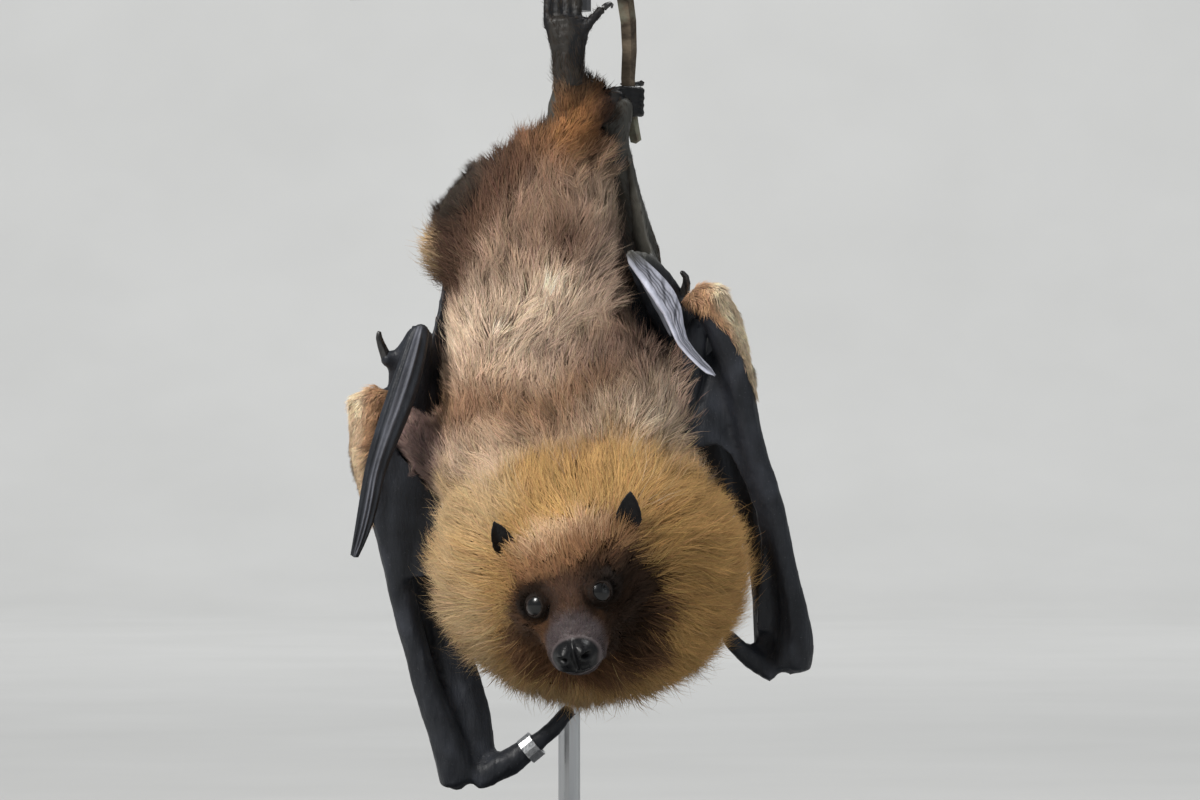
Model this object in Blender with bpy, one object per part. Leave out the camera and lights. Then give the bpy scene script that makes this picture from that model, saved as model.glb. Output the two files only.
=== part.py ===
"""A life-size Rodrigues fruit bat hanging by its feet from a cut branch, on a plain display stand.

The bat hangs head-down with its back towards -Y and its head bent back, so that the face looks along -Y.
The animal's own left side is +X. +Z is up, and the origin is the centre of the base's underside.

Sizes and places are in millimetres and become metres when a mesh is made. The furred solids reach out to
the tips of the coat. Each solid gives way to those listed before it, with a small gap between them.
"""

import math

import bmesh
import bpy
from mathutils import Matrix, Vector

METRES = 0.001
GAP = 0.3  # clearance between two solids that meet
RIGHT = Vector((1, 0, 0))
BACK = Vector((0, 1, 0))
UP = Vector((0, 0, 1))

# The stand and the branch.
BASE_WIDTH, BASE_DEPTH, BASE_HEIGHT = 160, 176, 14
BASE_CORNER, BASE_CHAMFER = 24, 1.5
BASE_CORNER_STEPS = 4
ROD_RADIUS = 3.5
POST_X, POST_Y = -5, 58
HUB_RADIUS, HUB_HEIGHT = 7, 18
PERCH_X, PERCH_Y, PERCH_Z = 6, 3, 294.6
PERCH_LENGTH, PERCH_RADIUS = 156, 6.6
KNOTS = ((0.24, 0.7), (0.8, 0.5))  # (share of the length, height) of two swellings on the branch
SOCKET = 5  # how far a rod's end goes into what holds it
TWIG_X, TWIG_Y = 13.3, 9.6  # beside the left foot
TWIG_RADIUS = 2.3

# The head: places on it are (along the snout, to the +X side, towards the crown), from between the eyes.
BETWEEN_EYES = Vector((-3.5, -57.1, 105.5))
SNOUT = Vector((-0.03, -0.88, -0.47)).normalized()
HEAD_ROLL = math.radians(14)
EYE_RADIUS = 4.3
EYE_ALONG, EYE_OUT, EYE_CROWN = 6.3, 9, 2.9
NOSE_ALONG, NOSE_CROWN = 24, -7.2
NOSE_SIZE = (3.6, 6.4, 5.7)  # half sizes along the snout, across and towards the crown
EAR_ALONG = -16
EAR_SIZES = ((5, 2.6), (3.5, 1.9), (0.6, 0.6))  # half width and half thickness at root, middle and tip

# The feet: angles in degrees run round the branch or the twig from its front.
TOES = 5
TOE_RADIUS, CLAW_RADIUS, CLAW_TIP = 1.5, 1.25, 0.35
RIGHT_FOOT_X, RIGHT_TOE_SPACING = -5.2, 2.9
RIGHT_TOE_ARC, RIGHT_CLAW_ARC = (-35, 70), (64, 195)
LEFT_FOOT_Z, LEFT_TOE_SPACING = 256, 2.3
LEFT_TOE_ARC, LEFT_CLAW_ARC = (-15, 75), (68, 215)

# The wings.
MEMBRANE = 0.8  # thickness of the wing skin
MEMBRANE_SAG = 1.2
THUMB_CLAW_RADIUS = 1.9
BAND_PLACE = Vector((-16.5, 11.4, 57))
BAND_AXIS = Vector((10.5, -1.1, 8.5)).normalized()
BAND_RADIUS, BAND_LENGTH = 4.3, 4.4

FUR_GOLD = (0.52, 0.33, 0.13)
FUR_TAN = (0.42, 0.29, 0.19)
FUR_BROWN = (0.19, 0.11, 0.07)
FUR_ORANGE = (0.45, 0.2, 0.07)
WING_BLACK = (0.022, 0.022, 0.027)
CLAW_BLACK = (0.015, 0.014, 0.014)
EYE_BROWN = (0.03, 0.012, 0.006)
BAND_GREY = (0.55, 0.56, 0.57)
BARK = (0.17, 0.12, 0.08)
STAND_DARK = (0.06, 0.06, 0.065)
STEEL = (0.56, 0.57, 0.58)


# ------------------------------------------------------------ curves and meshes


def smooth_at(rows, at):
    """The numbers on a Catmull-Rom curve through the rows, at a place from 0 to len(rows) - 1."""
    last = len(rows) - 1
    index = min(int(at), last - 1)
    t = at - index
    before, start, end, after = (rows[min(max(index + step, 0), last)] for step in (-1, 0, 1, 2))
    return [
        0.5 * (2 * b + (c - a) * t + (2 * a - 5 * b + 4 * c - d) * t**2 + (3 * b - a - 3 * c + d) * t**3)
        for a, b, c, d in zip(before, start, end, after)
    ]


def resampled(rows, count):
    """The rows as `count` rows evenly spaced along the smooth curve through them."""
    last = len(rows) - 1
    return [smooth_at(rows, last * step / (count - 1)) for step in range(count)]


def bridge(bm, ring, following):
    """Joins two closed rings of points with quads."""
    count = len(ring)
    for j in range(count):
        after = (j + 1) % count
        bm.faces.new((ring[j], ring[after], following[after], following[j]))


def tube(stations, side=RIGHT, rings=10, sides=8, point=0.45):
    """A shape: an elliptical tube through stations (x, y, z, half width along `side`, half depth).

    Its ends rise to a point by the share `point` of their size, or are flat where that is 0.
    """

    def shape(grow):
        bm = bmesh.new()
        rows = resampled(stations, rings)
        centres = [Vector(row[:3]) for row in rows]
        loops = []
        for i, row in enumerate(rows):
            along = (centres[min(i + 1, rings - 1)] - centres[max(i - 1, 0)]).normalized()
            across = (side - side.dot(along) * along).normalized()
            outward = along.cross(across)
            loop = []
            for j in range(sides):
                angle = math.tau * j / sides
                offset = across * math.cos(angle) * (row[3] + grow)
                offset += outward * math.sin(angle) * (row[4] + grow)
                loop.append(bm.verts.new(centres[i] + offset))
            loops.append(loop)
        for loop, following in zip(loops, loops[1:]):
            bridge(bm, loop, following)
        for loop, centre, neighbour, row in (
            (loops[0], centres[0], centres[1], rows[0]),
            (loops[-1], centres[-1], centres[-2], rows[-1]),
        ):
            out = (centre - neighbour).normalized() * (point * min(row[3], row[4]) + grow)
            tip = bm.verts.new(centre + out)
            for j in range(sides):
                bm.faces.new((loop[j], loop[(j + 1) % sides], tip))
        return bm

    return shape


def round_tube(points, first_radius, last_radius, rings=5, sides=5, side=RIGHT):
    """A shape: a round tube through the points, its radius running evenly from the first to the last."""
    stations = []
    for i, point in enumerate(points):
        radius = first_radius + (last_radius - first_radius) * i / (len(points) - 1)
        stations.append((*point, radius, radius))
    return tube(stations, side, rings, sides)


def sheet(rows, count, columns=4, sag=MEMBRANE_SAG):
    """A shape: a thin skin between the two ends of each row (start, end), bowed a little between them."""

    def shape(grow):
        bm = bmesh.new()
        ends = resampled([(*start, *end) for start, end in rows], count)
        grid = []
        for row in ends:
            start, end = Vector(row[:3]), Vector(row[3:])
            reach = (end - start).normalized() * grow
            start, end = start - reach, end + reach
            grid.append([start.lerp(end, j / (columns - 1)) for j in range(columns)])
        fronts, backs = [], []
        for i in range(count):
            front, back = [], []
            for j in range(columns):
                along = grid[min(i + 1, count - 1)][j] - grid[max(i - 1, 0)][j]
                across = grid[i][min(j + 1, columns - 1)] - grid[i][max(j - 1, 0)]
                normal = along.cross(across).normalized()
                middle = grid[i][j] + normal * sag * math.sin(math.pi * j / (columns - 1))
                front.append(bm.verts.new(middle + normal * (MEMBRANE / 2 + grow)))
                back.append(bm.verts.new(middle - normal * (MEMBRANE / 2 + grow)))
            fronts.append(front)
            backs.append(back)
        loops = [front + back[::-1] for front, back in zip(fronts, backs)]
        for loop, following in zip(loops, loops[1:]):
            bridge(bm, loop, following)
        for front, back in ((fronts[0], backs[0]), (fronts[-1], backs[-1])):
            for j in range(columns - 1):
                bm.faces.new((front[j], front[j + 1], back[j + 1], back[j]))
        return bm

    return shape


def ball(centre, half_sizes, axes=(RIGHT, BACK, UP), rings=7, sides=10):
    """A shape: an ellipsoid with its half sizes along the three axes."""

    def shape(grow):
        bm = bmesh.new()
        bmesh.ops.create_uvsphere(bm, u_segments=sides, v_segments=rings, radius=1)
        for vert in bm.verts:
            place = vert.co.copy()
            vert.co = centre.copy()
            for axis, share, size in zip(axes, place, half_sizes):
                vert.co += axis * share * (size + grow)
        return bm

    return shape


def rod(start, end, radius, sides=14):
    """A shape: a straight round bar with flat ends."""

    def shape(grow):
        bm = bmesh.new()
        reach = Vector(end) - Vector(start)
        bmesh.ops.create_cone(
            bm, cap_ends=True, segments=sides, radius1=radius + grow, radius2=radius + grow,
            depth=reach.length + 2 * grow,
        )
        turn = UP.rotation_difference(reach).to_matrix().to_4x4()
        middle = Matrix.Translation((Vector(start) + Vector(end)) / 2)
        bmesh.ops.transform(bm, matrix=middle @ turn, verts=bm.verts)
        return bm

    return shape


def base_plate(grow):
    """The base: a plate with rounded corners and a chamfered upper edge."""
    bm = bmesh.new()
    outline = []
    for quarter, (sign_x, sign_y) in enumerate(((1, 1), (-1, 1), (-1, -1), (1, -1))):
        centre_x = sign_x * (BASE_WIDTH / 2 - BASE_CORNER)
        centre_y = sign_y * (BASE_DEPTH / 2 - BASE_CORNER)
        for step in range(BASE_CORNER_STEPS + 1):
            angle = math.pi / 2 * (quarter + step / BASE_CORNER_STEPS)
            outline.append((centre_x, centre_y, math.cos(angle), math.sin(angle)))
    loops = []
    levels = ((0, 0), (BASE_HEIGHT - BASE_CHAMFER, 0), (BASE_HEIGHT, BASE_CHAMFER))
    for height, inset in levels:
        reach = BASE_CORNER - inset + grow
        loops.append([bm.verts.new((x + c * reach, y + s * reach, height)) for x, y, c, s in outline])
    bm.faces.new(loops[0])
    for loop, following in zip(loops, loops[1:]):
        bridge(bm, loop, following)
    bm.faces.new(loops[-1])
    return bm


# ------------------------------------------------------------ solids and materials


def material(name, colour, roughness, metallic=0.0):
    found = bpy.data.materials.get(name)
    if found:
        return found
    made = bpy.data.materials.new(name)
    made.use_nodes = True
    shader = made.node_tree.nodes["Principled BSDF"]
    shader.inputs["Base Color"].default_value = (*colour, 1)
    shader.inputs["Roughness"].default_value = roughness
    shader.inputs["Metallic"].default_value = metallic
    return made


def object_from(name, shape, grow=0.0):
    """An object holding a shape's closed mesh, in metres."""
    bm = shape(grow)
    bmesh.ops.scale(bm, vec=(METRES, METRES, METRES), verts=bm.verts)
    bmesh.ops.triangulate(bm, faces=bm.faces)
    bmesh.ops.recalc_face_normals(bm, faces=bm.faces)
    mesh = bpy.data.meshes.new(name)
    bm.to_mesh(mesh)
    bm.free()
    made = bpy.data.objects.new(name, mesh)
    bpy.context.scene.collection.objects.link(made)
    return made


def box_of(obj):
    points = [vert.co for vert in obj.data.vertices]
    return [[pick(point[k] for point in points) for k in range(3)] for pick in (min, max)]


def boxes_meet(first, second):
    return all(first[0][k] < second[1][k] and second[0][k] < first[1][k] for k in range(3))


def combine(obj, shapes, operation, grow):
    """Adds or takes away each shape, in one go."""
    box = box_of(obj)
    tools = []
    for shape in shapes:
        tool = object_from("tool", shape, grow)
        tool.hide_render = True
        tool.display_type = "WIRE"
        tools.append(tool)
        if not boxes_meet(box, box_of(tool)):
            continue
        modifier = obj.modifiers.new(operation.lower(), "BOOLEAN")
        modifier.operation = operation
        modifier.solver = "EXACT"
        modifier.object = tool
    if obj.modifiers:
        graph = bpy.context.evaluated_depsgraph_get()
        result = bpy.data.meshes.new_from_object(obj.evaluated_get(graph))
        obj.modifiers.clear()
        obj.data = result
    for tool in tools:
        bpy.data.objects.remove(tool)


def keep_largest_island(obj):
    """Cutting can leave crumbs beyond a neighbour: the piece is its largest island."""
    bm = bmesh.new()
    bm.from_mesh(obj.data)
    unseen = set(bm.verts)
    islands = []
    while unseen:
        island = []
        edge_of_search = [unseen.pop()]
        while edge_of_search:
            vert = edge_of_search.pop()
            island.append(vert)
            for edge in vert.link_edges:
                other = edge.other_vert(vert)
                if other in unseen:
                    unseen.remove(other)
                    edge_of_search.append(other)
        islands.append(island)
    islands.sort(key=island_size)
    for island in islands[:-1]:
        bmesh.ops.delete(bm, geom=island, context="VERTS")
    bm.to_mesh(obj.data)
    bm.free()


def island_size(verts):
    return math.prod(
        max(vert.co[k] for vert in verts) - min(vert.co[k] for vert in verts) for k in range(3)
    )


def solid(name, finish, shapes, earlier):
    """One node: the union of its shapes, less those of the earlier nodes and the gap round them."""
    made = object_from(name, shapes[0])
    combine(made, shapes[1:], "UNION", 0.0)
    combine(made, earlier, "DIFFERENCE", GAP)
    keep_largest_island(made)
    made.data.materials.clear()
    made.data.materials.append(finish)
    made.data.shade_smooth()
    made.data.set_sharp_from_angle(angle=math.radians(50))


# ------------------------------------------------------------ the stand and branch


def perch():
    """A cut length of branch, a little bent and swollen at two old knots."""
    left, right = PERCH_X - PERCH_LENGTH / 2, PERCH_X + PERCH_LENGTH / 2
    steps = 9
    stations = []
    for i in range(steps):
        share = i / (steps - 1)
        knots = sum(height * math.exp(-(((share - place) / 0.055) ** 2)) for place, height in KNOTS)
        radius = PERCH_RADIUS + knots + 0.5 * (0.5 - share)
        drop = 2.2 * math.sin(math.pi * (share - 0.5)) ** 2
        stations.append((left + (right - left) * share, PERCH_Y, PERCH_Z - drop, radius, radius))
    return tube(stations, BACK, rings=10, sides=10, point=0)


def stand_and_branch():
    dark = material("stand_dark", STAND_DARK, 0.45)
    steel = material("brushed_steel", STEEL, 0.32, 1.0)
    bark = material("bark", BARK, 0.85)
    hub_low = Vector((POST_X, POST_Y, PERCH_Z - HUB_HEIGHT / 2))
    hub_high = hub_low + UP * HUB_HEIGHT
    post_foot = Vector((POST_X, POST_Y, BASE_HEIGHT - SOCKET))
    arm_start = Vector((POST_X, POST_Y - HUB_RADIUS + SOCKET, PERCH_Z))
    arm_end = Vector((POST_X, PERCH_Y + PERCH_RADIUS - SOCKET, PERCH_Z))
    twig = [(TWIG_X - 1.3, 6, 287), (TWIG_X + 0.2, 8.5, 275), (TWIG_X - 0.3, TWIG_Y, 262),
            (TWIG_X + 0.5, TWIG_Y + 0.4, 252), (TWIG_X + 2.2, TWIG_Y + 1.4, 243)]
    return [
        ("stand_post", steel, [rod(post_foot, hub_low + UP * SOCKET, ROD_RADIUS)]),
        ("stand_arm", steel, [rod(arm_start, arm_end, ROD_RADIUS)]),
        ("stand_base", dark, [base_plate]),
        ("stand_hub", dark, [rod(hub_low, hub_high, HUB_RADIUS)]),
        ("perch", bark, [perch()]),
        ("perch_twig", bark, [round_tube(twig, TWIG_RADIUS + 0.5, TWIG_RADIUS - 0.4, rings=7)]),
    ]


# ------------------------------------------------------------ the head and neck


def head_axes():
    """The head's axes: along the snout, to the +X side and towards the crown, with its roll."""
    level = UP.cross(SNOUT).normalized()
    side = Matrix.Rotation(HEAD_ROLL, 3, SNOUT) @ level
    return SNOUT, side, SNOUT.cross(side)


HEAD_AXES = head_axes()


def on_head(along, side, crown):
    """The place of a point given in the head's own axes."""
    return BETWEEN_EYES + HEAD_AXES[0] * along + HEAD_AXES[1] * side + HEAD_AXES[2] * crown


def head_tube(profile, rings, sides):
    """A shape along the head from rows of (along, crown, half width, half height)."""
    stations = [(*on_head(along, 0, crown), width, height) for along, crown, width, height in profile]
    return tube(stations, HEAD_AXES[1], rings, sides)


def head_and_ruff():
    gold = material("fur_gold", FUR_GOLD, 0.8)
    brown = material("fur_brown", FUR_BROWN, 0.8)
    black = material("wing_skin", WING_BLACK, 0.5)
    glossy = material("eye", EYE_BROWN, 0.08)
    skull = [
        (24.5, -8.4, 6.2, 5), (22, -8, 8.2, 6.8), (16, -7, 9.4, 8.4), (10, -5.2, 11.2, 10.2),
        (4, -3.2, 15.6, 12.8), (-2, -2, 19.4, 16.2), (-10, -1, 22.2, 18.8), (-20, 0, 24, 20),
        (-30, -1, 22, 18), (-38, -2, 16, 13), (-43, -2, 8, 7),
    ]
    jaw = [
        (20.5, -13.6, 4.6, 2.4), (14, -13.8, 6.4, 3.4), (6, -13.6, 8.6, 4.6), (-3, -13, 11, 6),
        (-10, -12.4, 12, 7),
    ]
    pieces = []
    for name, sign in (("eye_left", 1), ("eye_right", -1)):
        centre = on_head(EYE_ALONG, sign * EYE_OUT, EYE_CROWN)
        pieces.append((name, glossy, [ball(centre, (EYE_RADIUS,) * 3)]))
    nose = ball(on_head(NOSE_ALONG, 0, NOSE_CROWN), NOSE_SIZE, HEAD_AXES)
    pieces.append(("nose", black, [nose]))
    pieces.append(("head", brown, [head_tube(skull, rings=11, sides=16)]))
    pieces.append(("lower_jaw", brown, [head_tube(jaw, rings=5, sides=10)]))

    ruff = [
        (1, 25, 120, 12, 12), (1, 19, 118.5, 30, 26), (1.5, 4, 115, 43, 37), (1.5, -12, 113, 49, 42.5),
        (0, -28, 110.5, 45, 39.5), (-2, -39, 108, 36.5, 32.5), (-3, -45.5, 107, 27, 24),
    ]
    pieces.append(("neck_ruff", gold, [tube(ruff, RIGHT, rings=10, sides=16)]))

    ears = {
        "ear_left": ((19, 8), (20, 15.4), (23.4, 22.2)),
        "ear_right": ((-16, 8.4), (-17.4, 15.6), (-19.6, 22)),
    }
    for name, places in ears.items():
        stations = [(*on_head(EAR_ALONG, *place), *size) for place, size in zip(places, EAR_SIZES)]
        pieces.append((name, black, [tube(stations, HEAD_AXES[1], rings=6, sides=9)]))
    return pieces


# ------------------------------------------------------------ the trunk, legs and feet


def arc(centre, radius, across, angles, steps):
    """Points on a circle: the angle is 0 in front of the centre (-Y) and 90 degrees on its `across` side."""
    first, last = angles
    points = []
    for i in range(steps):
        angle = math.radians(first + (last - first) * i / (steps - 1))
        offset = across * math.sin(angle) - BACK * math.cos(angle)
        points.append(Vector(centre) + offset * radius)
    return points


def right_foot():
    """The foot that hangs from the branch, with four toes over it and the last one held out to the side."""
    sole = [
        (-4.9, -5, 259.5, 4.6, 3.6), (-5, -6, 268, 5, 3.4), (-5.2, -6.8, 275, 6.4, 3),
        (-5.4, -7, 279.5, 7, 2.4),
    ]
    shapes = [tube(sole, RIGHT, rings=4)]
    claws = []
    reach = PERCH_RADIUS + TOE_RADIUS + 2 * GAP
    for i in range(TOES - 1):
        x = RIGHT_FOOT_X + (i - (TOES - 1) / 2) * RIGHT_TOE_SPACING
        middle = (x, PERCH_Y, PERCH_Z)
        toe = [(x, -6.6, 277)] + arc(middle, reach, UP, RIGHT_TOE_ARC, 5)
        shapes.append(round_tube(toe, TOE_RADIUS + 0.2, TOE_RADIUS - 0.2))
        claw = arc(middle, reach - 0.2, UP, RIGHT_CLAW_ARC, 6)
        claws.append(round_tube(claw, CLAW_RADIUS, CLAW_TIP))
    spread = [(-1.6, -7, 273.5), (0.6, -8, 277), (3.4, -9.2, 280.4), (5.4, -9.6, 282.2)]
    shapes.append(round_tube(spread, TOE_RADIUS, TOE_RADIUS - 0.1))
    spread_claw = [(5, -9.5, 281.9), (6.9, -9.3, 283.6), (8.2, -7.6, 283.9), (8.2, -5.8, 282.8)]
    claws.append(round_tube(spread_claw, CLAW_RADIUS, CLAW_TIP))
    return shapes, claws


def left_foot():
    """The foot that grips the twig, its toes side by side round it."""
    sole = [(7.4, 3.4, 251.5, 3.4, 3), (8.2, 4, 254.5, 3.8, 3), (9.4, 4.4, 257.5, 3.6, 2.6)]
    shapes = [tube(sole, RIGHT, rings=4)]
    claws = []
    reach = TWIG_RADIUS + TOE_RADIUS + 2 * GAP
    for i in range(TOES):
        z = LEFT_FOOT_Z + (i - (TOES - 1) / 2) * LEFT_TOE_SPACING
        middle = (TWIG_X, TWIG_Y, z)
        toe = [(8.6, 4.6, z)] + arc(middle, reach, RIGHT, LEFT_TOE_ARC, 4)
        shapes.append(round_tube(toe, TOE_RADIUS - 0.1, TOE_RADIUS - 0.3, rings=4, side=UP))
        claw = arc(middle, reach - 0.2, RIGHT, LEFT_CLAW_ARC, 6)
        claws.append(round_tube(claw, CLAW_RADIUS - 0.1, CLAW_TIP, side=UP))
    return shapes, claws


def trunk_and_legs():
    tan = material("fur_tan", FUR_TAN, 0.8)
    brown = material("fur_brown", FUR_BROWN, 0.8)
    orange = material("fur_orange", FUR_ORANGE, 0.8)
    black = material("wing_skin", WING_BLACK, 0.5)
    horn = material("claw", CLAW_BLACK, 0.25)
    trunk = [
        (-7, -1, 243.5, 8, 6), (-9.5, 0, 238, 15.5, 12), (-12, 1, 228, 21.6, 17), (-13, 1, 212, 27, 20),
        (-12.5, 1.5, 192, 29.5, 22), (-8.5, 2, 170, 35.5, 24), (-6.5, 3, 150, 39.5, 26),
        (-2, 3, 130, 41, 26), (1.5, 4, 110, 34, 22), (1.5, 4, 99, 22, 14),
    ]
    right_thigh = [
        (-14, 6, 203, 12, 12), (-27, 4, 206.5, 14, 12.5), (-36.5, 2, 208, 14, 12),
        (-43.5, 2, 208.5, 11, 9.5), (-47.8, 2, 208.5, 6.5, 5),
    ]
    right_shank = [
        (-41, 0, 216, 6.5, 7), (-32, -1, 225.5, 8.4, 8), (-21, -2, 234, 6.8, 6.6),
        (-12, -3, 241, 5.2, 5), (-7.4, -4, 248.6, 4.9, 4.5), (-5.2, -4.6, 257.5, 4.7, 4),
    ]
    left_thigh = [
        (0, 8, 209, 10, 10), (9, 12, 206.5, 9.6, 9.6), (17, 14, 204.5, 8, 8), (21.5, 15, 203.5, 4.5, 4.5),
    ]
    left_shank = [
        (17.5, 13, 207, 6, 6), (13.6, 8, 225, 4.1, 4.1), (10.6, 4, 240, 3.6, 3.6), (8, 3.2, 250, 3.3, 3.2),
    ]
    tail = [
        (-17, -6, 233.5, 3.6, 1.5), (-8, -9.4, 240, 4.6, 1.6), (1, -7, 246.5, 4.2, 1.6),
        (7, -2.5, 252.5, 2.8, 1.5),
    ]
    pieces = [
        ("tail_membrane", orange, [tube(tail, UP, rings=6)]),
        ("shank_right", brown, [tube(right_shank, UP, rings=9, sides=10)]),
        ("shank_left", brown, [tube(left_shank, RIGHT, rings=6)]),
        ("trunk", tan, [tube(trunk, RIGHT, rings=11, sides=14)]),
        ("thigh_right", brown, [tube(right_thigh, UP, rings=7, sides=12)]),
        ("thigh_left", brown, [tube(left_thigh, UP, rings=5, sides=10)]),
    ]
    for side, (shapes, claws) in (("right", right_foot()), ("left", left_foot())):
        pieces.append((f"foot_{side}", black, shapes))
        for i, claw in enumerate(claws):
            pieces.append((f"claw_{side}_{i + 1}", horn, [claw]))
    return pieces


# ------------------------------------------------------------ the wings


def left_wing():
    """The wing on the +X side: (part of the name, kind of finish, shapes)."""
    upper_arm = [(24, 4, 128, 8, 8), (30, 1, 158, 7, 7), (34, -2, 182, 6.4, 6.4), (35.5, -3, 190, 5, 5)]
    forearm = [
        (32.5, -4, 196.5, 5, 5), (36.5, -4, 194, 7.3, 7), (42.5, -3.4, 185, 5.8, 5.4),
        (47.2, -2, 167, 4.3, 4.2), (51.4, 0, 147, 3.8, 3.8), (56, 3, 133.5, 3.6, 3.6),
        (60, 5, 121, 3.6, 3.6), (62.8, 7, 105, 3.6, 3.6), (64.8, 9, 93, 4.8, 4.6), (63.4, 10, 85, 7, 6),
        (62.4, 10, 79.4, 5.6, 4.4),
    ]
    hand = [
        (60.5, 13.6, 80, 6, 3.4), (59.5, 15, 86, 8, 4), (58, 16, 95, 6.6, 3.6), (57, 16, 105, 5.6, 3.6),
        (54, 18, 125, 7, 3.6), (46, 19, 150, 8, 3.6), (36, 15, 172, 8, 3.6), (26, 5, 192, 7, 3.4),
        (17.5, -6.5, 204.5, 4.6, 3.2), (13.6, -12, 208.4, 2.8, 2.4),
    ]
    tip = [
        (14, -14.4, 207, 2.2, 1.8), (17.5, -17, 202.5, 3.6, 1.9), (24.2, -18.5, 193.7, 4.6, 1.8),
        (31.3, -19, 184.3, 5, 1.6), (37, -18, 174.5, 2.8, 1.3), (40.6, -17, 169.4, 0.7, 0.7),
    ]
    thumb = [
        (59, 11, 80.5, 4, 3.6), (52.5, 11, 83, 3.4, 3.2), (46.5, 10, 88.5, 2.6, 2.6),
        (43.6, 9.4, 91.5, 2.2, 2.2),
    ]
    thumb_claw = [(43.4, 9.4, 91.8), (41.4, 8.8, 95), (41.4, 8.2, 98.5), (43, 7.6, 101)]
    index_claw = [(29.5, 3, 193), (30.6, 1.4, 197.6), (31, 0.4, 200.6), (29.6, -0.4, 202.6)]
    arm_skin = [
        ((27, 1, 150), (30, -1, 149)), ((31, -1, 168), (34.8, -2, 150)),
        ((35, -3, 184), (41.5, -1.8, 148.8)), ((41, -4, 183), (45.3, -0.5, 145)),
        ((46, -3, 168), (47.6, 0.5, 140.5)), ((50.5, -0.5, 148), (50.8, 1.5, 132.9)),
        ((55, 2, 134), (53.6, 3, 124)), ((59, 4.5, 121), (54, 5, 115)), ((62, 7, 105), (52.5, 8, 104)),
        ((63, 9, 92), (52, 10, 92)),
    ]
    side_skin = [
        ((5.4, 6.5, 247), (9, 2, 250.5)), ((8, 11, 236), (13.2, 1.4, 240)),
        ((11, 14, 224), (17, -1, 225)), ((16, 17, 206), (21.6, -4, 205)),
        ((22, 18, 186), (28, -2, 188)), ((26, 18, 166), (36, 9, 168)), ((28, 18, 146), (42, 14, 148)),
        ((28, 18, 128), (46, 14, 128)),
    ]
    slant = Vector((1, 0, 1)).normalized()
    return [
        ("upper_arm", "fur", [tube(upper_arm, RIGHT, rings=5)]),
        ("forearm", "skin", [tube(forearm, RIGHT, rings=12)]),
        ("hand", "skin", [tube(hand, slant, rings=12)]),
        ("wing_tip", "skin", [tube(tip, slant, rings=8)]),
        ("thumb", "skin", [tube(thumb, UP, rings=5)]),
        ("thumb_claw", "horn", [round_tube(thumb_claw, THUMB_CLAW_RADIUS, CLAW_TIP, sides=6)]),
        ("index_claw", "horn", [round_tube(index_claw, 1.5, CLAW_TIP)]),
        ("arm_membrane", "skin", [sheet(arm_skin, 11)]),
        ("side_membrane", "skin", [sheet(side_skin, 9, columns=3)]),
    ]


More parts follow.
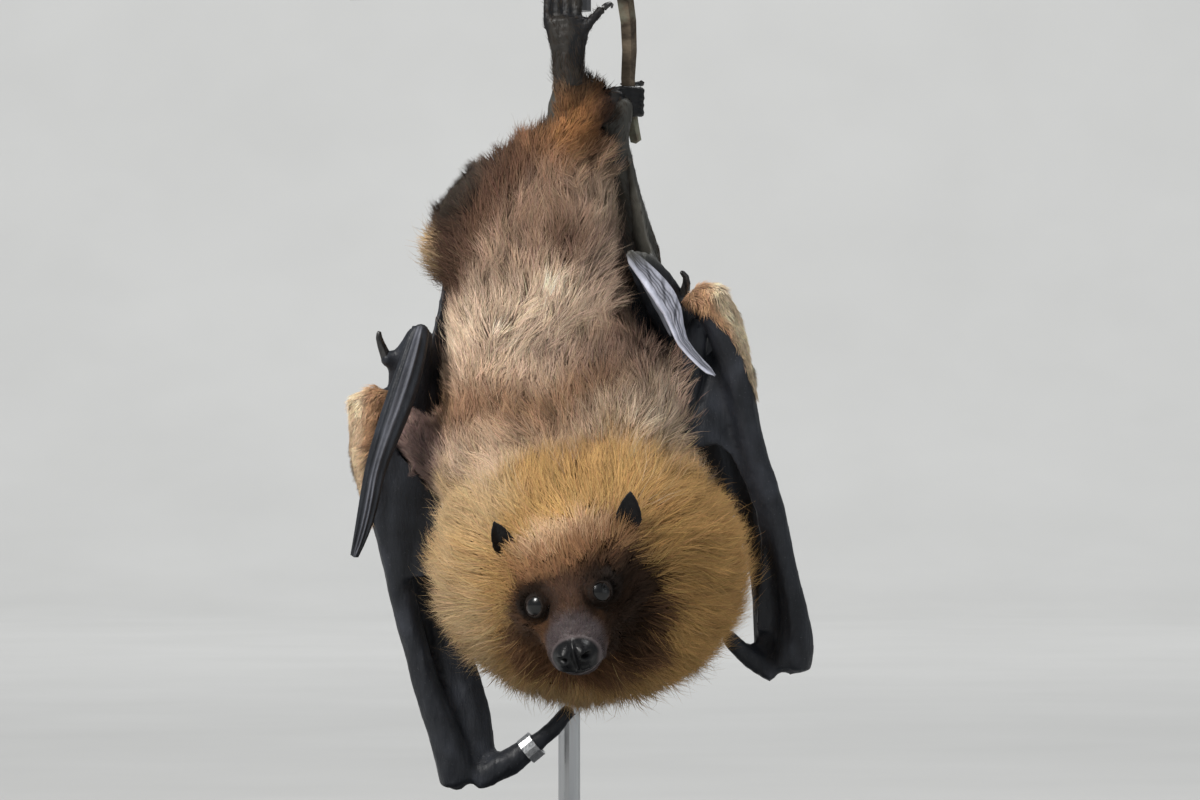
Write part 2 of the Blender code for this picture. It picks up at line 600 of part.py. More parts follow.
def right_wing():
    """The wing on the -X side: (part of the name, kind of finish, shapes)."""
    upper_arm = [(-30, 4, 128, 8, 8), (-43, 3, 143, 7.5, 7.5), (-54, 2, 155, 6.6, 6.6), (-59, 2, 159.5, 5, 5)]
    forearm = [
        (-62.5, 1.6, 167, 4.4, 4.6), (-64.4, 1.8, 163, 6.8, 6.6), (-65.6, 2, 151, 5.6, 5.4),
        (-65.2, 3, 142, 5, 5), (-62.6, 4, 131, 4.4, 4.4), (-59.4, 5, 118, 4, 4), (-54, 7, 97, 4, 4),
        (-50, 8, 81, 4, 4), (-43.8, 10, 63, 4.6, 4.4), (-39.6, 11, 50, 6.4, 5.5),
        (-38.4, 11, 44, 5.2, 4),
    ]
    hand = [
        (-36, 13.6, 45, 6.4, 3.4), (-34.5, 15, 52, 8, 4), (-36.5, 15.6, 64, 8.5, 4),
        (-40.5, 16.5, 78, 8.5, 4), (-46, 17.5, 95, 8, 4), (-51, 17.5, 115, 7.5, 3.8),
        (-54.5, 15.5, 135, 7, 3.8), (-55, 11, 155, 6.5, 3.6), (-53, 3.5, 172, 5.5, 3.2),
        (-50, -3, 184, 4, 2.8), (-49, -5.6, 188, 2.6, 2.2),
    ]
    index = [(-56, 6, 160), (-58.2, 2.6, 168), (-60.2, 0.4, 175.4)]
    tip = [
        (-49.2, -8.4, 188.2, 2.2, 1.8), (-51.5, -10.6, 178, 3.7, 2.2), (-57, -12.2, 160.5, 4.4, 2),
        (-63.4, -12.6, 143.5, 3.2, 1.7), (-66.5, -12.5, 126.5, 2.8, 1.4), (-71, -12, 113, 0.7, 0.7),
    ]
    thumb = [
        (-35, 12, 47.2, 4.6, 4.2), (-27.5, 11.6, 50.4, 4.4, 4.2), (-21, 11.6, 54, 3.7, 3.6),
        (-16.5, 11.4, 57, 3, 3), (-10.5, 10.5, 62, 2.7, 2.7), (-5.5, 9.5, 67.5, 2.5, 2.5),
        (-3.5, 9.2, 70, 2.2, 2.2),
    ]
    thumb_claw = [(-3.4, 9.2, 70.1), (-0.6, 9.4, 73.6), (0.4, 10.4, 77.6), (-1, 11.6, 81)]
    index_claw = [(-60, 0.4, 175), (-61.4, -0.4, 178.6), (-62.6, -0.8, 181.8), (-62.8, -1, 184.2)]
    arm_skin = [
        ((-36, 3, 132), (-44, 2, 110)), ((-46, 2, 143), (-50, 1, 109)),
        ((-57, 1, 153), (-55, 1, 108.5)), ((-63, 1, 150), (-56.5, 2, 106)),
        ((-64, 2, 140), (-56, 3, 101)), ((-61, 4, 124), (-54, 4.5, 94)),
        ((-56, 6, 104), (-50.5, 5.5, 86.5)), ((-52, 7.5, 88), (-46.5, 6.5, 79)),
        ((-47.5, 8.5, 74), (-41.5, 7.5, 69)), ((-43, 9.5, 60), (-36, 9, 55)),
    ]
    side_skin = [
        ((-7, 1.6, 257), (-10.6, 1, 259)), ((-8.6, 4, 247), (-13.6, 3.4, 248)),
        ((-14, 9, 236), (-20, 11, 238.6)), ((-22, 14.4, 224), (-33, 17, 227)),
        ((-28, 17.4, 208), (-42, 18.6, 209)), ((-34, 14.4, 189), (-45, 8, 191)),
        ((-37, 14, 170), (-49, 3, 174)), ((-38, 14, 150), (-50, 7, 154)),
        ((-36, 15, 130), (-48, 13, 132)),
    ]
    return [
        ("upper_arm", "fur", [tube(upper_arm, UP, rings=5)]),
        ("forearm", "skin", [tube(forearm, RIGHT, rings=12)]),
        ("hand", "skin", [tube(hand, RIGHT, rings=12), round_tube(index, 2.4, 1.8)]),
        ("wing_tip", "skin", [tube(tip, RIGHT, rings=9)]),
        ("thumb", "skin", [tube(thumb, UP, rings=9)]),
        ("thumb_claw", "horn", [round_tube(thumb_claw, THUMB_CLAW_RADIUS, CLAW_TIP, sides=6)]),
        ("index_claw", "horn", [round_tube(index_claw, 1.6, CLAW_TIP)]),
        ("arm_membrane", "skin", [sheet(arm_skin, 11)]),
        ("side_membrane", "skin", [sheet(side_skin, 9, columns=3)]),
    ]


def wings():
    finishes = {
        "fur": material("fur_brown", FUR_BROWN, 0.8),
        "skin": material("wing_skin", WING_BLACK, 0.5),
        "horn": material("claw", CLAW_BLACK, 0.25),
    }
    pieces = []
    for side, parts in (("left", left_wing()), ("right", right_wing())):
        for part, finish, shapes in parts:
            pieces.append((f"{part}_{side}", finishes[finish], shapes))
    half_band = BAND_AXIS * BAND_LENGTH / 2
    band = rod(BAND_PLACE - half_band, BAND_PLACE + half_band, BAND_RADIUS)
    pieces.append(("thumb_band", material("band_metal", BAND_GREY, 0.35, 1.0), [band]))
    return pieces


def main():
    for obj in list(bpy.data.objects):
        bpy.data.objects.remove(obj)
    earlier = []
    for name, finish, shapes in stand_and_branch() + head_and_ruff() + trunk_and_legs() + wings():
        solid(name, finish, shapes, earlier)
        earlier += shapes


main()
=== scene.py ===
import math

import bmesh
import bpy
import numpy as np
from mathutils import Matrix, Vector
from mathutils.bvhtree import BVHTree
from mathutils.kdtree import KDTree


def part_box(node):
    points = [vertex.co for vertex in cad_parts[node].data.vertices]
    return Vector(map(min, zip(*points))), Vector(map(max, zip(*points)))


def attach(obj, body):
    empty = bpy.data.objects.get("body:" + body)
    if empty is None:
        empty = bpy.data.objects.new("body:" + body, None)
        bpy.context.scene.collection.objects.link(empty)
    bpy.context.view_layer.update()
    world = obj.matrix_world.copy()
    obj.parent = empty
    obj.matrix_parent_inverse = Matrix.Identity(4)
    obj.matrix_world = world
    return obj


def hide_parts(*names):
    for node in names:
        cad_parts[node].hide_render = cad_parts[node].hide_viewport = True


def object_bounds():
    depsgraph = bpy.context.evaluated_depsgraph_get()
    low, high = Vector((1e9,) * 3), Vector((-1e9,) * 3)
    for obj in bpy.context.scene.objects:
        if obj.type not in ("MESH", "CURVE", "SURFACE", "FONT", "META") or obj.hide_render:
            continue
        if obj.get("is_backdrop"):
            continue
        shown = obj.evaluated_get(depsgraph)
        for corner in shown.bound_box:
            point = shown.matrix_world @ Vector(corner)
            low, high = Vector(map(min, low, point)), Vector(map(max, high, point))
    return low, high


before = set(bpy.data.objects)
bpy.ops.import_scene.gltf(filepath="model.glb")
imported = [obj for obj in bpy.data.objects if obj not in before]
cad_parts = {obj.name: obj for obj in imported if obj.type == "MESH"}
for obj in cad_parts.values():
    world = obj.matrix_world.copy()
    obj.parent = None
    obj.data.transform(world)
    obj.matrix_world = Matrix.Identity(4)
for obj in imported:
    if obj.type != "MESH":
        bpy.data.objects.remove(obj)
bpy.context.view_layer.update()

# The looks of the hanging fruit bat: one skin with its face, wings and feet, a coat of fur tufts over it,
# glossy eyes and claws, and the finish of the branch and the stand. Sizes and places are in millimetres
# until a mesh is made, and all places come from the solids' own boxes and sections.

MM = 0.001
RIGHT, BACK, UP = np.eye(3)
SIDES = ("left", "right")

# The flesh with a coat: nodes, coat depth, hair length, hair width (mm) and tufts per square millimetre.
COATED = {
    "face": (("head", "lower_jaw", "nose"), 0.0, 0.0, 0.0, 0.0),
    "ruff": (("neck_ruff",), 7.5, 14.0, 0.235, 5.8),
    "trunk": (("trunk",), 4.2, 11.0, 0.22, 4.8),
    "thigh": (("thigh_right",), 4.0, 9.5, 0.25, 4.6),
    "shank": (("shank_right",), 0.8, 5.0, 0.19, 5.0),
    "tail": (("tail_membrane",), 0.9, 6.0, 0.22, 6.0),
    "shoulder": (("upper_arm_left",), 2.6, 9.0, 0.24, 5.0),
    "arm": (("upper_arm_right",), 1.6, 4.6, 0.2, 7.0),
}
DEPTH, LENGTH, WIDTH, DENSITY = 1, 2, 3, 4
# The same four numbers on the face, from the back of the head along the snout to the nose.
FACE_ALONG = (-24, -16, -8, -2, 4, 10, 18)
FACE_COAT = {
    DEPTH: (7.2, 5.6, 3.9, 2.6, 1.4, 0.7, 0.3),
    LENGTH: (14.0, 11.5, 8.0, 5.6, 3.6, 2.2, 1.2),
    WIDTH: (0.25, 0.22, 0.19, 0.17, 0.155, 0.14, 0.12),
    DENSITY: (6.0, 7.4, 10.0, 12.0, 13.0, 14.0, 14.0),
}
# The left leg's flesh, which is bare but for thin hair.
BARE_LEG = ("thigh_left", "shank_left")
FLESH = [node for row in COATED.values() for node in row[0]] + list(BARE_LEG)
LEATHERY = ("forearm", "wing", "membrane")
# All that a point of the skin can belong to. Painted sheen comes on top of the wing: a silvery grey painted
# on the finger ends for the shine of light on their black leather.
GROUPS = [*COATED, "leg", *LEATHERY, "foot", "ear", "painted_sheen"]

# The cell of the grid that each form's even surface is made on.
VOXEL = {"body": 1.2, "wing": 1.05, "foot": 0.55, "ear": 0.42, "claw": 0.22}
LONGEST_PIECE = 190_000  # triangles in one piece of the coat
SHORT_HAIR, LONG_HAIR = 6, 12  # triangles in one hair
UV_PATCH = 0.003  # the size of a hair's patch on the unwrapped skin


# ---------------------------------------------------------------------------- small helpers


def unit(vectors):
    vectors = np.asarray(vectors, float)
    return vectors / np.maximum(np.linalg.norm(vectors, axis=-1, keepdims=True), 1e-9)


def square_to(vectors, normals):
    """What is left of each vector without its part along the normal."""
    return vectors - np.sum(vectors * normals, axis=-1, keepdims=True) * normals


def ramp(value, start, end):
    """0 before start, 1 after end, smooth between them."""
    share = np.clip((np.asarray(value, float) - start) / (end - start), 0, 1)
    return share * share * (3 - 2 * share)


def band(value, start, full, fade, end):
    """1 from full to fade, 0 before start and after end, smooth between them."""
    return ramp(value, start, full) * (1 - ramp(value, fade, end))


def bump(value, centre, width):
    return np.exp(-(((np.asarray(value, float) - centre) / width) ** 2))


def waves(points, size, seed, count=8):
    """A smooth random field over the points, mostly between -1 and 1, with features of about this size."""
    source = np.random.default_rng(seed)
    total = np.zeros(len(points))
    for _ in range(count):
        direction = unit(source.normal(size=3)) * math.tau / (size * source.uniform(1.2, 3))
        total += np.sin(points @ direction + source.uniform(0, math.tau))
    return total / math.sqrt(count)


def box_of(node):
    """The low and the high corner of a CAD node's box, in millimetres."""
    low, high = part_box(node)
    return np.array(low) / MM, np.array(high) / MM


def middle(node):
    low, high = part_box(node)
    return np.array((low + high) / 2) / MM


def points_of(mesh):
    """A mesh's points in millimetres."""
    points = np.empty(len(mesh.vertices) * 3, np.float32)
    mesh.vertices.foreach_get("co", points)
    return points.reshape(-1, 3).astype(float) / MM


def arrays_of(mesh):
    """A mesh's points in millimetres and its triangles."""
    mesh.calc_loop_triangles()
    triangles = np.empty(len(mesh.loop_triangles) * 3, np.int32)
    mesh.loop_triangles.foreach_get("vertices", triangles)
    return points_of(mesh), triangles.reshape(-1, 3)


def node_mesh(node):
    """A CAD node's points in millimetres and its triangles, with its double points joined."""
    return welded(*arrays_of(bpy.data.objects[node].data))


def welded(points, faces, within=0.002):
    _, first, index = np.unique(np.round(points / within), axis=0, return_index=True, return_inverse=True)
    faces = index.reshape(-1)[faces]
    whole = np.all(faces != np.roll(faces, 1, axis=1), axis=1)
    return points[first], faces[whole]


def face_normals(points, faces):
    corners = points[faces]
    if faces.shape[1] == 4:
        return np.cross(corners[:, 2] - corners[:, 0], corners[:, 3] - corners[:, 1])
    return np.cross(corners[:, 1] - corners[:, 0], corners[:, 2] - corners[:, 0])


def gathered(values, index, count):
    """Adds up rows of values at each index."""
    values = np.asarray(values, float)
    return np.stack([np.bincount(index, values[:, k], count) for k in range(values.shape[1])], axis=1)


def vertex_normals(points, faces):
    normals = np.repeat(face_normals(points, faces), faces.shape[1], axis=0)
    return unit(gathered(normals, faces.reshape(-1), len(points)))


def edges_of(faces):
    ends = np.stack([faces, np.roll(faces, -1, axis=1)], axis=2).reshape(-1, 2)
    return np.unique(np.sort(ends, axis=1), axis=0)


def relax(values, edges, amount, rounds):
    """Moves each row towards the mean of its neighbours. `amount` is one number or one for each row."""
    count = len(values)
    degree = np.bincount(edges.reshape(-1), minlength=count)[:, None].clip(1)
    amount = np.broadcast_to(np.asarray(amount, float).reshape(-1, 1), (count, 1))
    for _ in range(rounds):
        total = gathered(values[edges[:, 1]], edges[:, 0], count)
        total += gathered(values[edges[:, 0]], edges[:, 1], count)
        values = values + amount * (total / degree - values)
    return values


def nearest(places, points):
    """The index of the place that is nearest to each point."""
    tree = KDTree(len(places))
    for index, place in enumerate(places):
        tree.insert(place, index)
    tree.balance()
    return np.array([tree.find(point)[1] for point in points])


def split(quads):
    return np.concatenate([quads[:, [0, 1, 2]], quads[:, [0, 2, 3]]])


def facing_out(points, faces):
    """A closed shape with its faces turned outwards."""
    corners = points[faces]
    volume = np.einsum("ij,ij->i", corners[:, 0], np.cross(corners[:, 1], corners[:, 2])).sum()
    return points, faces[:, ::-1] if volume < 0 else faces


def tube_walls(index):
    """The four-sided faces between the rings of a tube, whose points' numbers stand ring by ring."""
    after = np.roll(index, -1, axis=1)
    return np.stack([index[:-1], after[:-1], after[1:], index[1:]], axis=-1).reshape(-1, 4)


def made_mesh(name, points, faces):
    """A mesh from points in millimetres and faces that all have the same number of corners."""
    mesh = bpy.data.meshes.new(name)
    sides = faces.shape[1]
    mesh.vertices.add(len(points))
    mesh.vertices.foreach_set("co", (np.asarray(points) * MM).astype(np.float32).reshape(-1))
    mesh.loops.add(faces.size)
    mesh.loops.foreach_set("vertex_index", faces.astype(np.int32).reshape(-1))
    mesh.polygons.add(len(faces))
    mesh.polygons.foreach_set("loop_start", np.arange(0, faces.size, sides, dtype=np.int32))
    mesh.update(calc_edges=True)
    mesh.shade_smooth()
    return mesh


def placed(name, data):
    """A new object in the scene."""
    piece = bpy.data.objects.new(name, data)
    bpy.context.scene.collection.objects.link(piece)
    return piece


def made_object(name, mesh, finish):
    mesh.materials.clear()
    mesh.materials.append(finish)
    return placed(name, mesh)


def add_modifier(piece, kind, **settings):
    modifier = piece.modifiers.new(kind, kind)
    for key, value in settings.items():
        setattr(modifier, key, value)


def evaluated(carrier):
    """The mesh that an object's modifiers make of it. The object itself is removed."""
    graph = bpy.context.evaluated_depsgraph_get()
    result = bpy.data.meshes.new_from_object(carrier.evaluated_get(graph))
    bpy.data.objects.remove(carrier)
    return result


def remeshed(points, faces, voxel):
    """One even closed surface round all the given shapes."""
    carrier = placed("carrier", made_mesh("remesh", points, faces))
    add_modifier(carrier, "REMESH", mode="VOXEL", voxel_size=voxel * MM, adaptivity=0.0)
    result = evaluated(carrier)
    quads = np.empty(len(result.polygons) * 4, np.int32)
    result.polygons.foreach_get("vertices", quads)
    return points_of(result), quads.reshape(-1, 4)


def union(body, shapes):
    """One closed mesh: the body with every shape joined to it."""
    carrier = placed("carrier", made_mesh("body", *body))
    others = [placed("other", made_mesh("other", *shape)) for shape in shapes]
    for other in others:
        add_modifier(carrier, "BOOLEAN", operation="UNION", solver="MANIFOLD", object=other)
    result = evaluated(carrier)
    for other in others:
        bpy.data.objects.remove(other)
    return welded(*arrays_of(result), 0.001)


def several(shapes):
    """Joins (points, faces) pairs into one."""
    starts = np.cumsum([0] + [len(points) for points, _ in shapes])
    points = np.concatenate([points for points, _ in shapes])
    return points, np.concatenate([faces + start for (_, faces), start in zip(shapes, starts)])


def swollen(points, faces, amount):
    return points + vertex_normals(points, faces) * amount, faces


def refined(node, voxel, rounds, swell=0.15):
    """A CAD node as an even, smooth surface."""
    points, quads = remeshed(*swollen(*node_mesh(node), swell), voxel)
    return relax(points, edges_of(quads), 0.5, rounds), quads


# ---------------------------------------------------------------------------- the head's own axes


EYES = {side: middle(f"eye_{side}") for side in SIDES}
EYE_RADIUS = float(max(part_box("eye_left")[1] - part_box("eye_left")[0])) / 2 / MM
BETWEEN_EYES = (EYES["left"] + EYES["right"]) / 2
ACROSS = unit(EYES["left"] - EYES["right"])
NOSE_DROP = math.radians(29.7)  # how far the nose lies below the line of the snout
TO_NOSE = unit(middle("nose") - BETWEEN_EYES)
SNOUT = unit(math.cos(NOSE_DROP) * TO_NOSE + math.sin(NOSE_DROP) * np.cross(TO_NOSE, ACROSS))
CROWN = np.cross(SNOUT, ACROSS)
HEAD_AXES = np.stack([SNOUT, ACROSS, CROWN])
NOSE_ALONG, _, NOSE_CROWN = HEAD_AXES @ (middle("nose") - BETWEEN_EYES)
# The face as seen from in front.
MASK_RIGHT = unit(ACROSS - (ACROSS @ BACK) * BACK)
MASK_UP = np.cross(MASK_RIGHT, BACK)


def on_head(points):
    """(along the snout, towards the bat's left, towards the crown) of each point, from between the eyes."""
    return ((points - BETWEEN_EYES) @ HEAD_AXES.T).T


def from_head(along, side, crown):
    return BETWEEN_EYES + np.array([along, side, crown]) @ HEAD_AXES


def on_mask(points):
    """Places on the face seen from in front, level with the eyes: (towards the bat's left, up)."""
    offset = points - BETWEEN_EYES
    return offset @ MASK_RIGHT, offset @ MASK_UP


def eye_distance(points):
    """How far each point is from the middle of the nearer eye."""
    return np.min([np.linalg.norm(points - centre, axis=1) for centre in EYES.values()], axis=0)


# ---------------------------------------------------------------------------- sections and lofts

# A station is a row: a centre, the direction across, the one towards the front, half width and half depth.
CENTRE, WIDE, DEEP = slice(0, 3), slice(3, 6), slice(6, 9)
HALF_WIDTH, HALF_DEPTH = 9, 10
WIDEST_RING = 14  # a section's points lie within this distance of its centre
SHEET_GRID = 14  # rows and columns of points in a sheet


def cut(points, triangles, origin, normal):
    """The points where a plane crosses the mesh's edges."""
    edges = edges_of(triangles)
    height = (points - origin) @ normal
    first, last = height[edges[:, 0]], height[edges[:, 1]]
    crossing = first * last < 0
    share = (first / np.where(crossing, first - last, 1))[crossing, None]
    ends = edges[crossing]
    return points[ends[:, 0]] * (1 - share) + points[ends[:, 1]] * share


def station(points, triangles, centre, tangent, across):
    """The row of one section of a mesh."""
    wide = unit(across - (across @ tangent) * tangent)
    deep = np.cross(tangent, wide)
    deep = deep * (1 if deep @ BACK < 0 else -1)
    ring = cut(points, triangles, centre, tangent) - centre
    ring = ring[np.linalg.norm(ring, axis=1) < WIDEST_RING]
    x, y = ring @ wide, ring @ deep
    shift = wide * (x.max() + x.min()) / 2 + deep * (y.max() + y.min()) / 2
    return (*(centre + shift), *wide, *deep, np.ptp(x) / 2, np.ptp(y) / 2)


def spine(node, across, count=24):
    """Stations down a long node."""
    points, triangles = node_mesh(node)
    centre = points.mean(axis=0)
    axis = np.linalg.svd(points - centre, full_matrices=False)[2][0]
    axis = axis * (1 if axis[2] < 0 else -1)
    reach = (points - centre) @ axis
    places = np.linspace(reach.min(), reach.max(), count + 2)[1:-1]
    rings = [cut(points, triangles, centre + axis * place, axis) for place in places]
    centres = np.array([ring.mean(axis=0) for ring in rings])
    chain = np.stack([np.arange(count - 1), np.arange(1, count)], axis=1)
    inner = np.ones(count)
    inner[[0, -1]] = 0
    for _ in range(2):
        tangents = unit(np.gradient(centres, axis=0))
        rows = [station(points, triangles, *pair, across) for pair in zip(centres, tangents)]
        rows = relax(np.array(rows), chain, inner * 0.5, 2)
        centres = rows[:, CENTRE]
    return rows


def resampled(line, places, steps):
    """The rows of a line at other places along it."""
    return np.stack([np.interp(places, steps, column) for column in line.T], axis=1)


def even_angles(width, depth, sides):
    """Angles that divide the edge of an ellipse into equal parts."""
    fine = np.linspace(0, math.tau, 721)
    steps = np.hypot(np.diff(np.cos(fine)) * width, np.diff(np.sin(fine)) * depth)
    reached = np.append(0, np.cumsum(steps)) / steps.sum()
    return np.interp(np.linspace(0, 1, sides + 1)[:-1], reached, fine)


def loft(rows, rings, sides, relief=None, end=0.5):
    """A closed tube along stations, with a relief(across, outward, along) in millimetres on its surface."""
    rows = resampled(rows, np.linspace(0, len(rows) - 1, rings), np.arange(len(rows)))
    width, depth = rows[:, HALF_WIDTH, None], rows[:, HALF_DEPTH, None]
    angles = even_angles(rows[:, HALF_WIDTH].mean(), rows[:, HALF_DEPTH].mean(), sides)
    cos, sin = np.cos(angles)[None, :], np.sin(angles)[None, :]
    x, y = cos * width, sin * depth
    if relief is not None:
        height = relief(*np.broadcast_arrays(cos, sin, np.linspace(0, 1, rings)[:, None]))
        steep = np.hypot(cos / width, sin / depth)
        x = x + height * cos / width / steep
        y = y + height * sin / depth / steep
    points = rows[:, None, CENTRE] + x[:, :, None] * rows[:, None, WIDE]
    points = points + y[:, :, None] * rows[:, None, DEEP]
    tips = []
    for last, neighbour in ((0, 1), (-1, -2)):
        out = unit(rows[last, CENTRE] - rows[neighbour, CENTRE]) * end * min(width[last], depth[last])
        tips.append(rows[last, CENTRE] + out)
    index = np.arange(rings * sides).reshape(rings, sides)
    first_cap = np.stack([np.roll(index[0], -1), index[0], np.full(sides, rings * sides)], axis=1)
    last_cap = np.stack([index[-1], np.roll(index[-1], -1), np.full(sides, rings * sides + 1)], axis=1)
    faces = np.concatenate([split(tube_walls(index)), first_cap, last_cap])
    return facing_out(np.concatenate([points.reshape(-1, 3), tips]), faces)


def tube_between(start, end, first_radius, last_radius):
    """A short tapered tube with round ends."""
    along = unit(end - start)
    wide = unit(np.cross(along, BACK))
    deep = np.cross(wide, along)
    rows = []
    for share in np.linspace(0, 1, 8):
        radius = first_radius + (last_radius - first_radius) * share
        rows.append((*(start + (end - start) * share), *wide, *deep, radius, radius))
    return loft(np.array(rows), 8, 14, end=0.6)


def framed(centres, across):
    """Stations along a line of centres, with no size yet."""
    along = unit(np.gradient(centres, axis=0))
    wide = unit(across - (along @ across)[:, None] * along)
    deep = np.cross(along, wide)
    deep = deep * np.where(deep @ BACK < 0, 1, -1)[:, None]
    return np.concatenate([centres, wide, deep, np.ones((len(centres), 2))], axis=1)


def reshaped(rows, widths, depths):
    """The same stations with other half widths and half depths, each given from the top to the end."""
    rows = rows.copy()
    share = np.linspace(0, 1, len(rows))
    for column, sizes in ((HALF_WIDTH, widths), (HALF_DEPTH, depths)):
        rows[:, column] = np.interp(share, np.linspace(0, 1, len(sizes)), sizes)
    return rows


def sheet(front_line, back_line, thickness, through=BACK):
    """A thin closed sheet between two lines of points."""
    grid = np.linspace(0, 1, SHEET_GRID)
    lines = [np.array(line, float) for line in (front_line, back_line)]
    first, last = (resampled(line, grid, np.linspace(0, 1, len(line)))[:, None] for line in lines)
    share = grid[None, :, None]
    middle_layer = first * (1 - share) + last * share
    layers = [middle_layer - through * thickness / 2, middle_layer + through * thickness / 2]
    points = np.concatenate([layer.reshape(-1, 3) for layer in layers])
    total = SHEET_GRID * SHEET_GRID
    index = np.arange(total).reshape(SHEET_GRID, SHEET_GRID)
    corners = [index[:-1, :-1], index[:-1, 1:], index[1:, 1:], index[1:, :-1]]
    quads = np.stack(corners, axis=-1).reshape(-1, 4)
    rim = np.concatenate([index[0], index[1:, -1], index[-1, -2::-1], index[-2:0:-1, 0]])
    after = np.roll(rim, -1)
    walls = np.stack([after, rim, rim + total, after + total], axis=1)
    return facing_out(points, split(np.concatenate([quads, quads[:, ::-1] + total, walls])))


def merged(shapes, voxel, rounds, closing):
    """Several closed shapes as one even surface. Closing fills the narrow valleys between them."""
    points, quads = remeshed(*several([swollen(*shape, closing + 0.1) for shape in shapes]), voxel)
    points = relax(points, edges_of(quads), 0.5, rounds)
    return points - vertex_normals(points, quads) * closing, quads


# ---------------------------------------------------------------------------- the wings, ears and feet

SLANT = unit((1, 0, 1))
# Each fold is (across at the top, at the end, width, height), and each crease (across at the top, slope).
# The creases are only painted: lines of painted shade in the left blade's painted sheen.
ARM_FOLDS = ((-0.5, -0.2, 0.16, 0.6), (0.1, 0.25, 0.14, 0.5), (0.55, 0.6, 0.12, 0.4))
FINGER_FOLDS = ((-0.7, -0.6, 0.14, 0.6), (-0.2, -0.1, 0.14, 0.7), (0.35, 0.4, 0.14, 0.6))
LEFT_BLADE_VEINS = (
    (-0.8, -0.75, 0.22, 1.0), (-0.45, -0.35, 0.08, -0.5), (-0.1, 0.1, 0.12, 0.4),
    (0.2, 0.4, 0.08, -0.45), (0.6, 0.75, 0.12, 0.5),
)
LEFT_BLADE_PAINTED_CREASE_SHADE = ((-0.48, 0.12), (-0.18, 0.3), (0.12, 0.35), (0.5, 0.2))
RIGHT_BLADE_FOLDS = (
    (-0.75, -0.6, 0.13, 0.5), (-0.3, -0.15, 0.13, 1.0), (0.1, 0.25, 0.11, 0.9), (0.75, 0.7, 0.14, 0.4),
)
# The left blade's bow to the side, in millimetres, by share of its length, and its half widths and depths.
LEFT_BLADE_BOW = (
    (0, 0.22, 0.36, 0.48, 0.59, 0.69, 0.79, 0.89, 1),
    (0.2, 1.2, 1.5, 0.8, -0.9, -2.2, -1.9, -1.1, 0),
)
LEFT_BLADE_WIDTHS = (1.3, 2.2, 2.8, 3.2, 3.3, 2.8, 2.1, 1.7, 1.4, 1.0, 0.35)
LEFT_BLADE_DEPTHS = (1.3, 1.5, 1.5, 1.4, 1.2, 0.9, 0.4)


def ridges(*lines):
    """A relief of lengthwise folds on the front of a loft."""

    def relief(across, outward, along):
        facing = ramp(outward, -0.1, 0.25)
        height = np.zeros_like(across)
        for start, end, width, high in lines:
            place = start + (end - start) * along + 0.06 * np.sin(7 * along + 11 * start)
            high_here = high * (0.8 + 0.25 * np.sin(12 * along + 5 * start))
            height = height + high_here * bump(across, place, width) * facing
        return height * ramp(along, 0, 0.06) * ramp(1 - along, 0, 0.06)

    return relief


def hand_line(side):
    return spine(f"hand_{side}", SLANT if side == "left" else RIGHT, 30)


def flank_sheet():
    """The leather that lies over the trunk's left flank, beside the arm's own membrane."""
    low, high = box_of("arm_membrane_left")
    corner = np.array([low[0], 0, high[2]])
    trunk_side = corner + [(-8.5, 0, -4), (-8, -2, -14), (-6.5, -5, -22), (-4, -6, -27)]
    wing_side = corner + [(10, 2, 6), (9, 0, -10), (7, -2, -20), (6, -3, -26)]
    return sheet(trunk_side, wing_side, 1.3)


def side_sheet():
    """The membrane that runs from the trunk's left side to the leg and on behind the folded wing."""
    rump = box_of("trunk")[1]
    inner = np.array([rump[0] - 36, 0, rump[2]])
    outer = np.array([box_of("shank_left")[0][0], 0, rump[2]])
    trunk_side = inner + [(-5, 8, 1), (-2, 9, -22), (0, 10, -45), (12, 9, -72)]
    leg_side = outer + [(5, 9, 3), (10, 11, -20), (18, 11, -40), (30, 8, -72)]
    return sheet(trunk_side, leg_side, 1.3)


def index_stub(side, hand):
    """The bare stub that carries the index finger's claw."""
    claw = middle(f"index_claw_{side}")
    base = np.array([claw[0], claw[1], box_of(f"index_claw_{side}")[0][2] + 1.2])
    joint = hand[np.argmin(np.linalg.norm(hand[:, CENTRE] - base, axis=1)), CENTRE]
    return tube_between(base, base * 0.2 + joint * 0.8, 1.7, 2.6)


def arm_parts(side):
    """(group, shape) of each part of one folded wing that its leather covers."""
    hand = hand_line(side)
    parts = [
        ("forearm", loft(spine(f"forearm_{side}", RIGHT, 30), 80, 48, ridges(*ARM_FOLDS))),
        ("wing", loft(hand, 80, 56, ridges(*FINGER_FOLDS))),
        ("wing", loft(spine(f"thumb_{side}", UP, 16), 40, 28)),
        ("membrane", swollen(*node_mesh(f"arm_membrane_{side}"), 0.2)),
        ("membrane", swollen(*node_mesh(f"side_membrane_{side}"), 0.2)),
        ("wing", index_stub(side, hand)),
    ]
    if side == "left":
        parts += [("membrane", flank_sheet()), ("membrane", side_sheet())]
    return parts


def leather_folds(points, quads):
    """Soft folds down the wing, and fine creases between them."""
    long_folds = waves(points * [1, 1, 0.1], 5, 61)
    creases = waves(points * [1, 1, 0.22], 1.7, 62, 12)
    return points + vertex_normals(points, quads) * (0.35 * long_folds + 0.13 * creases)[:, None]


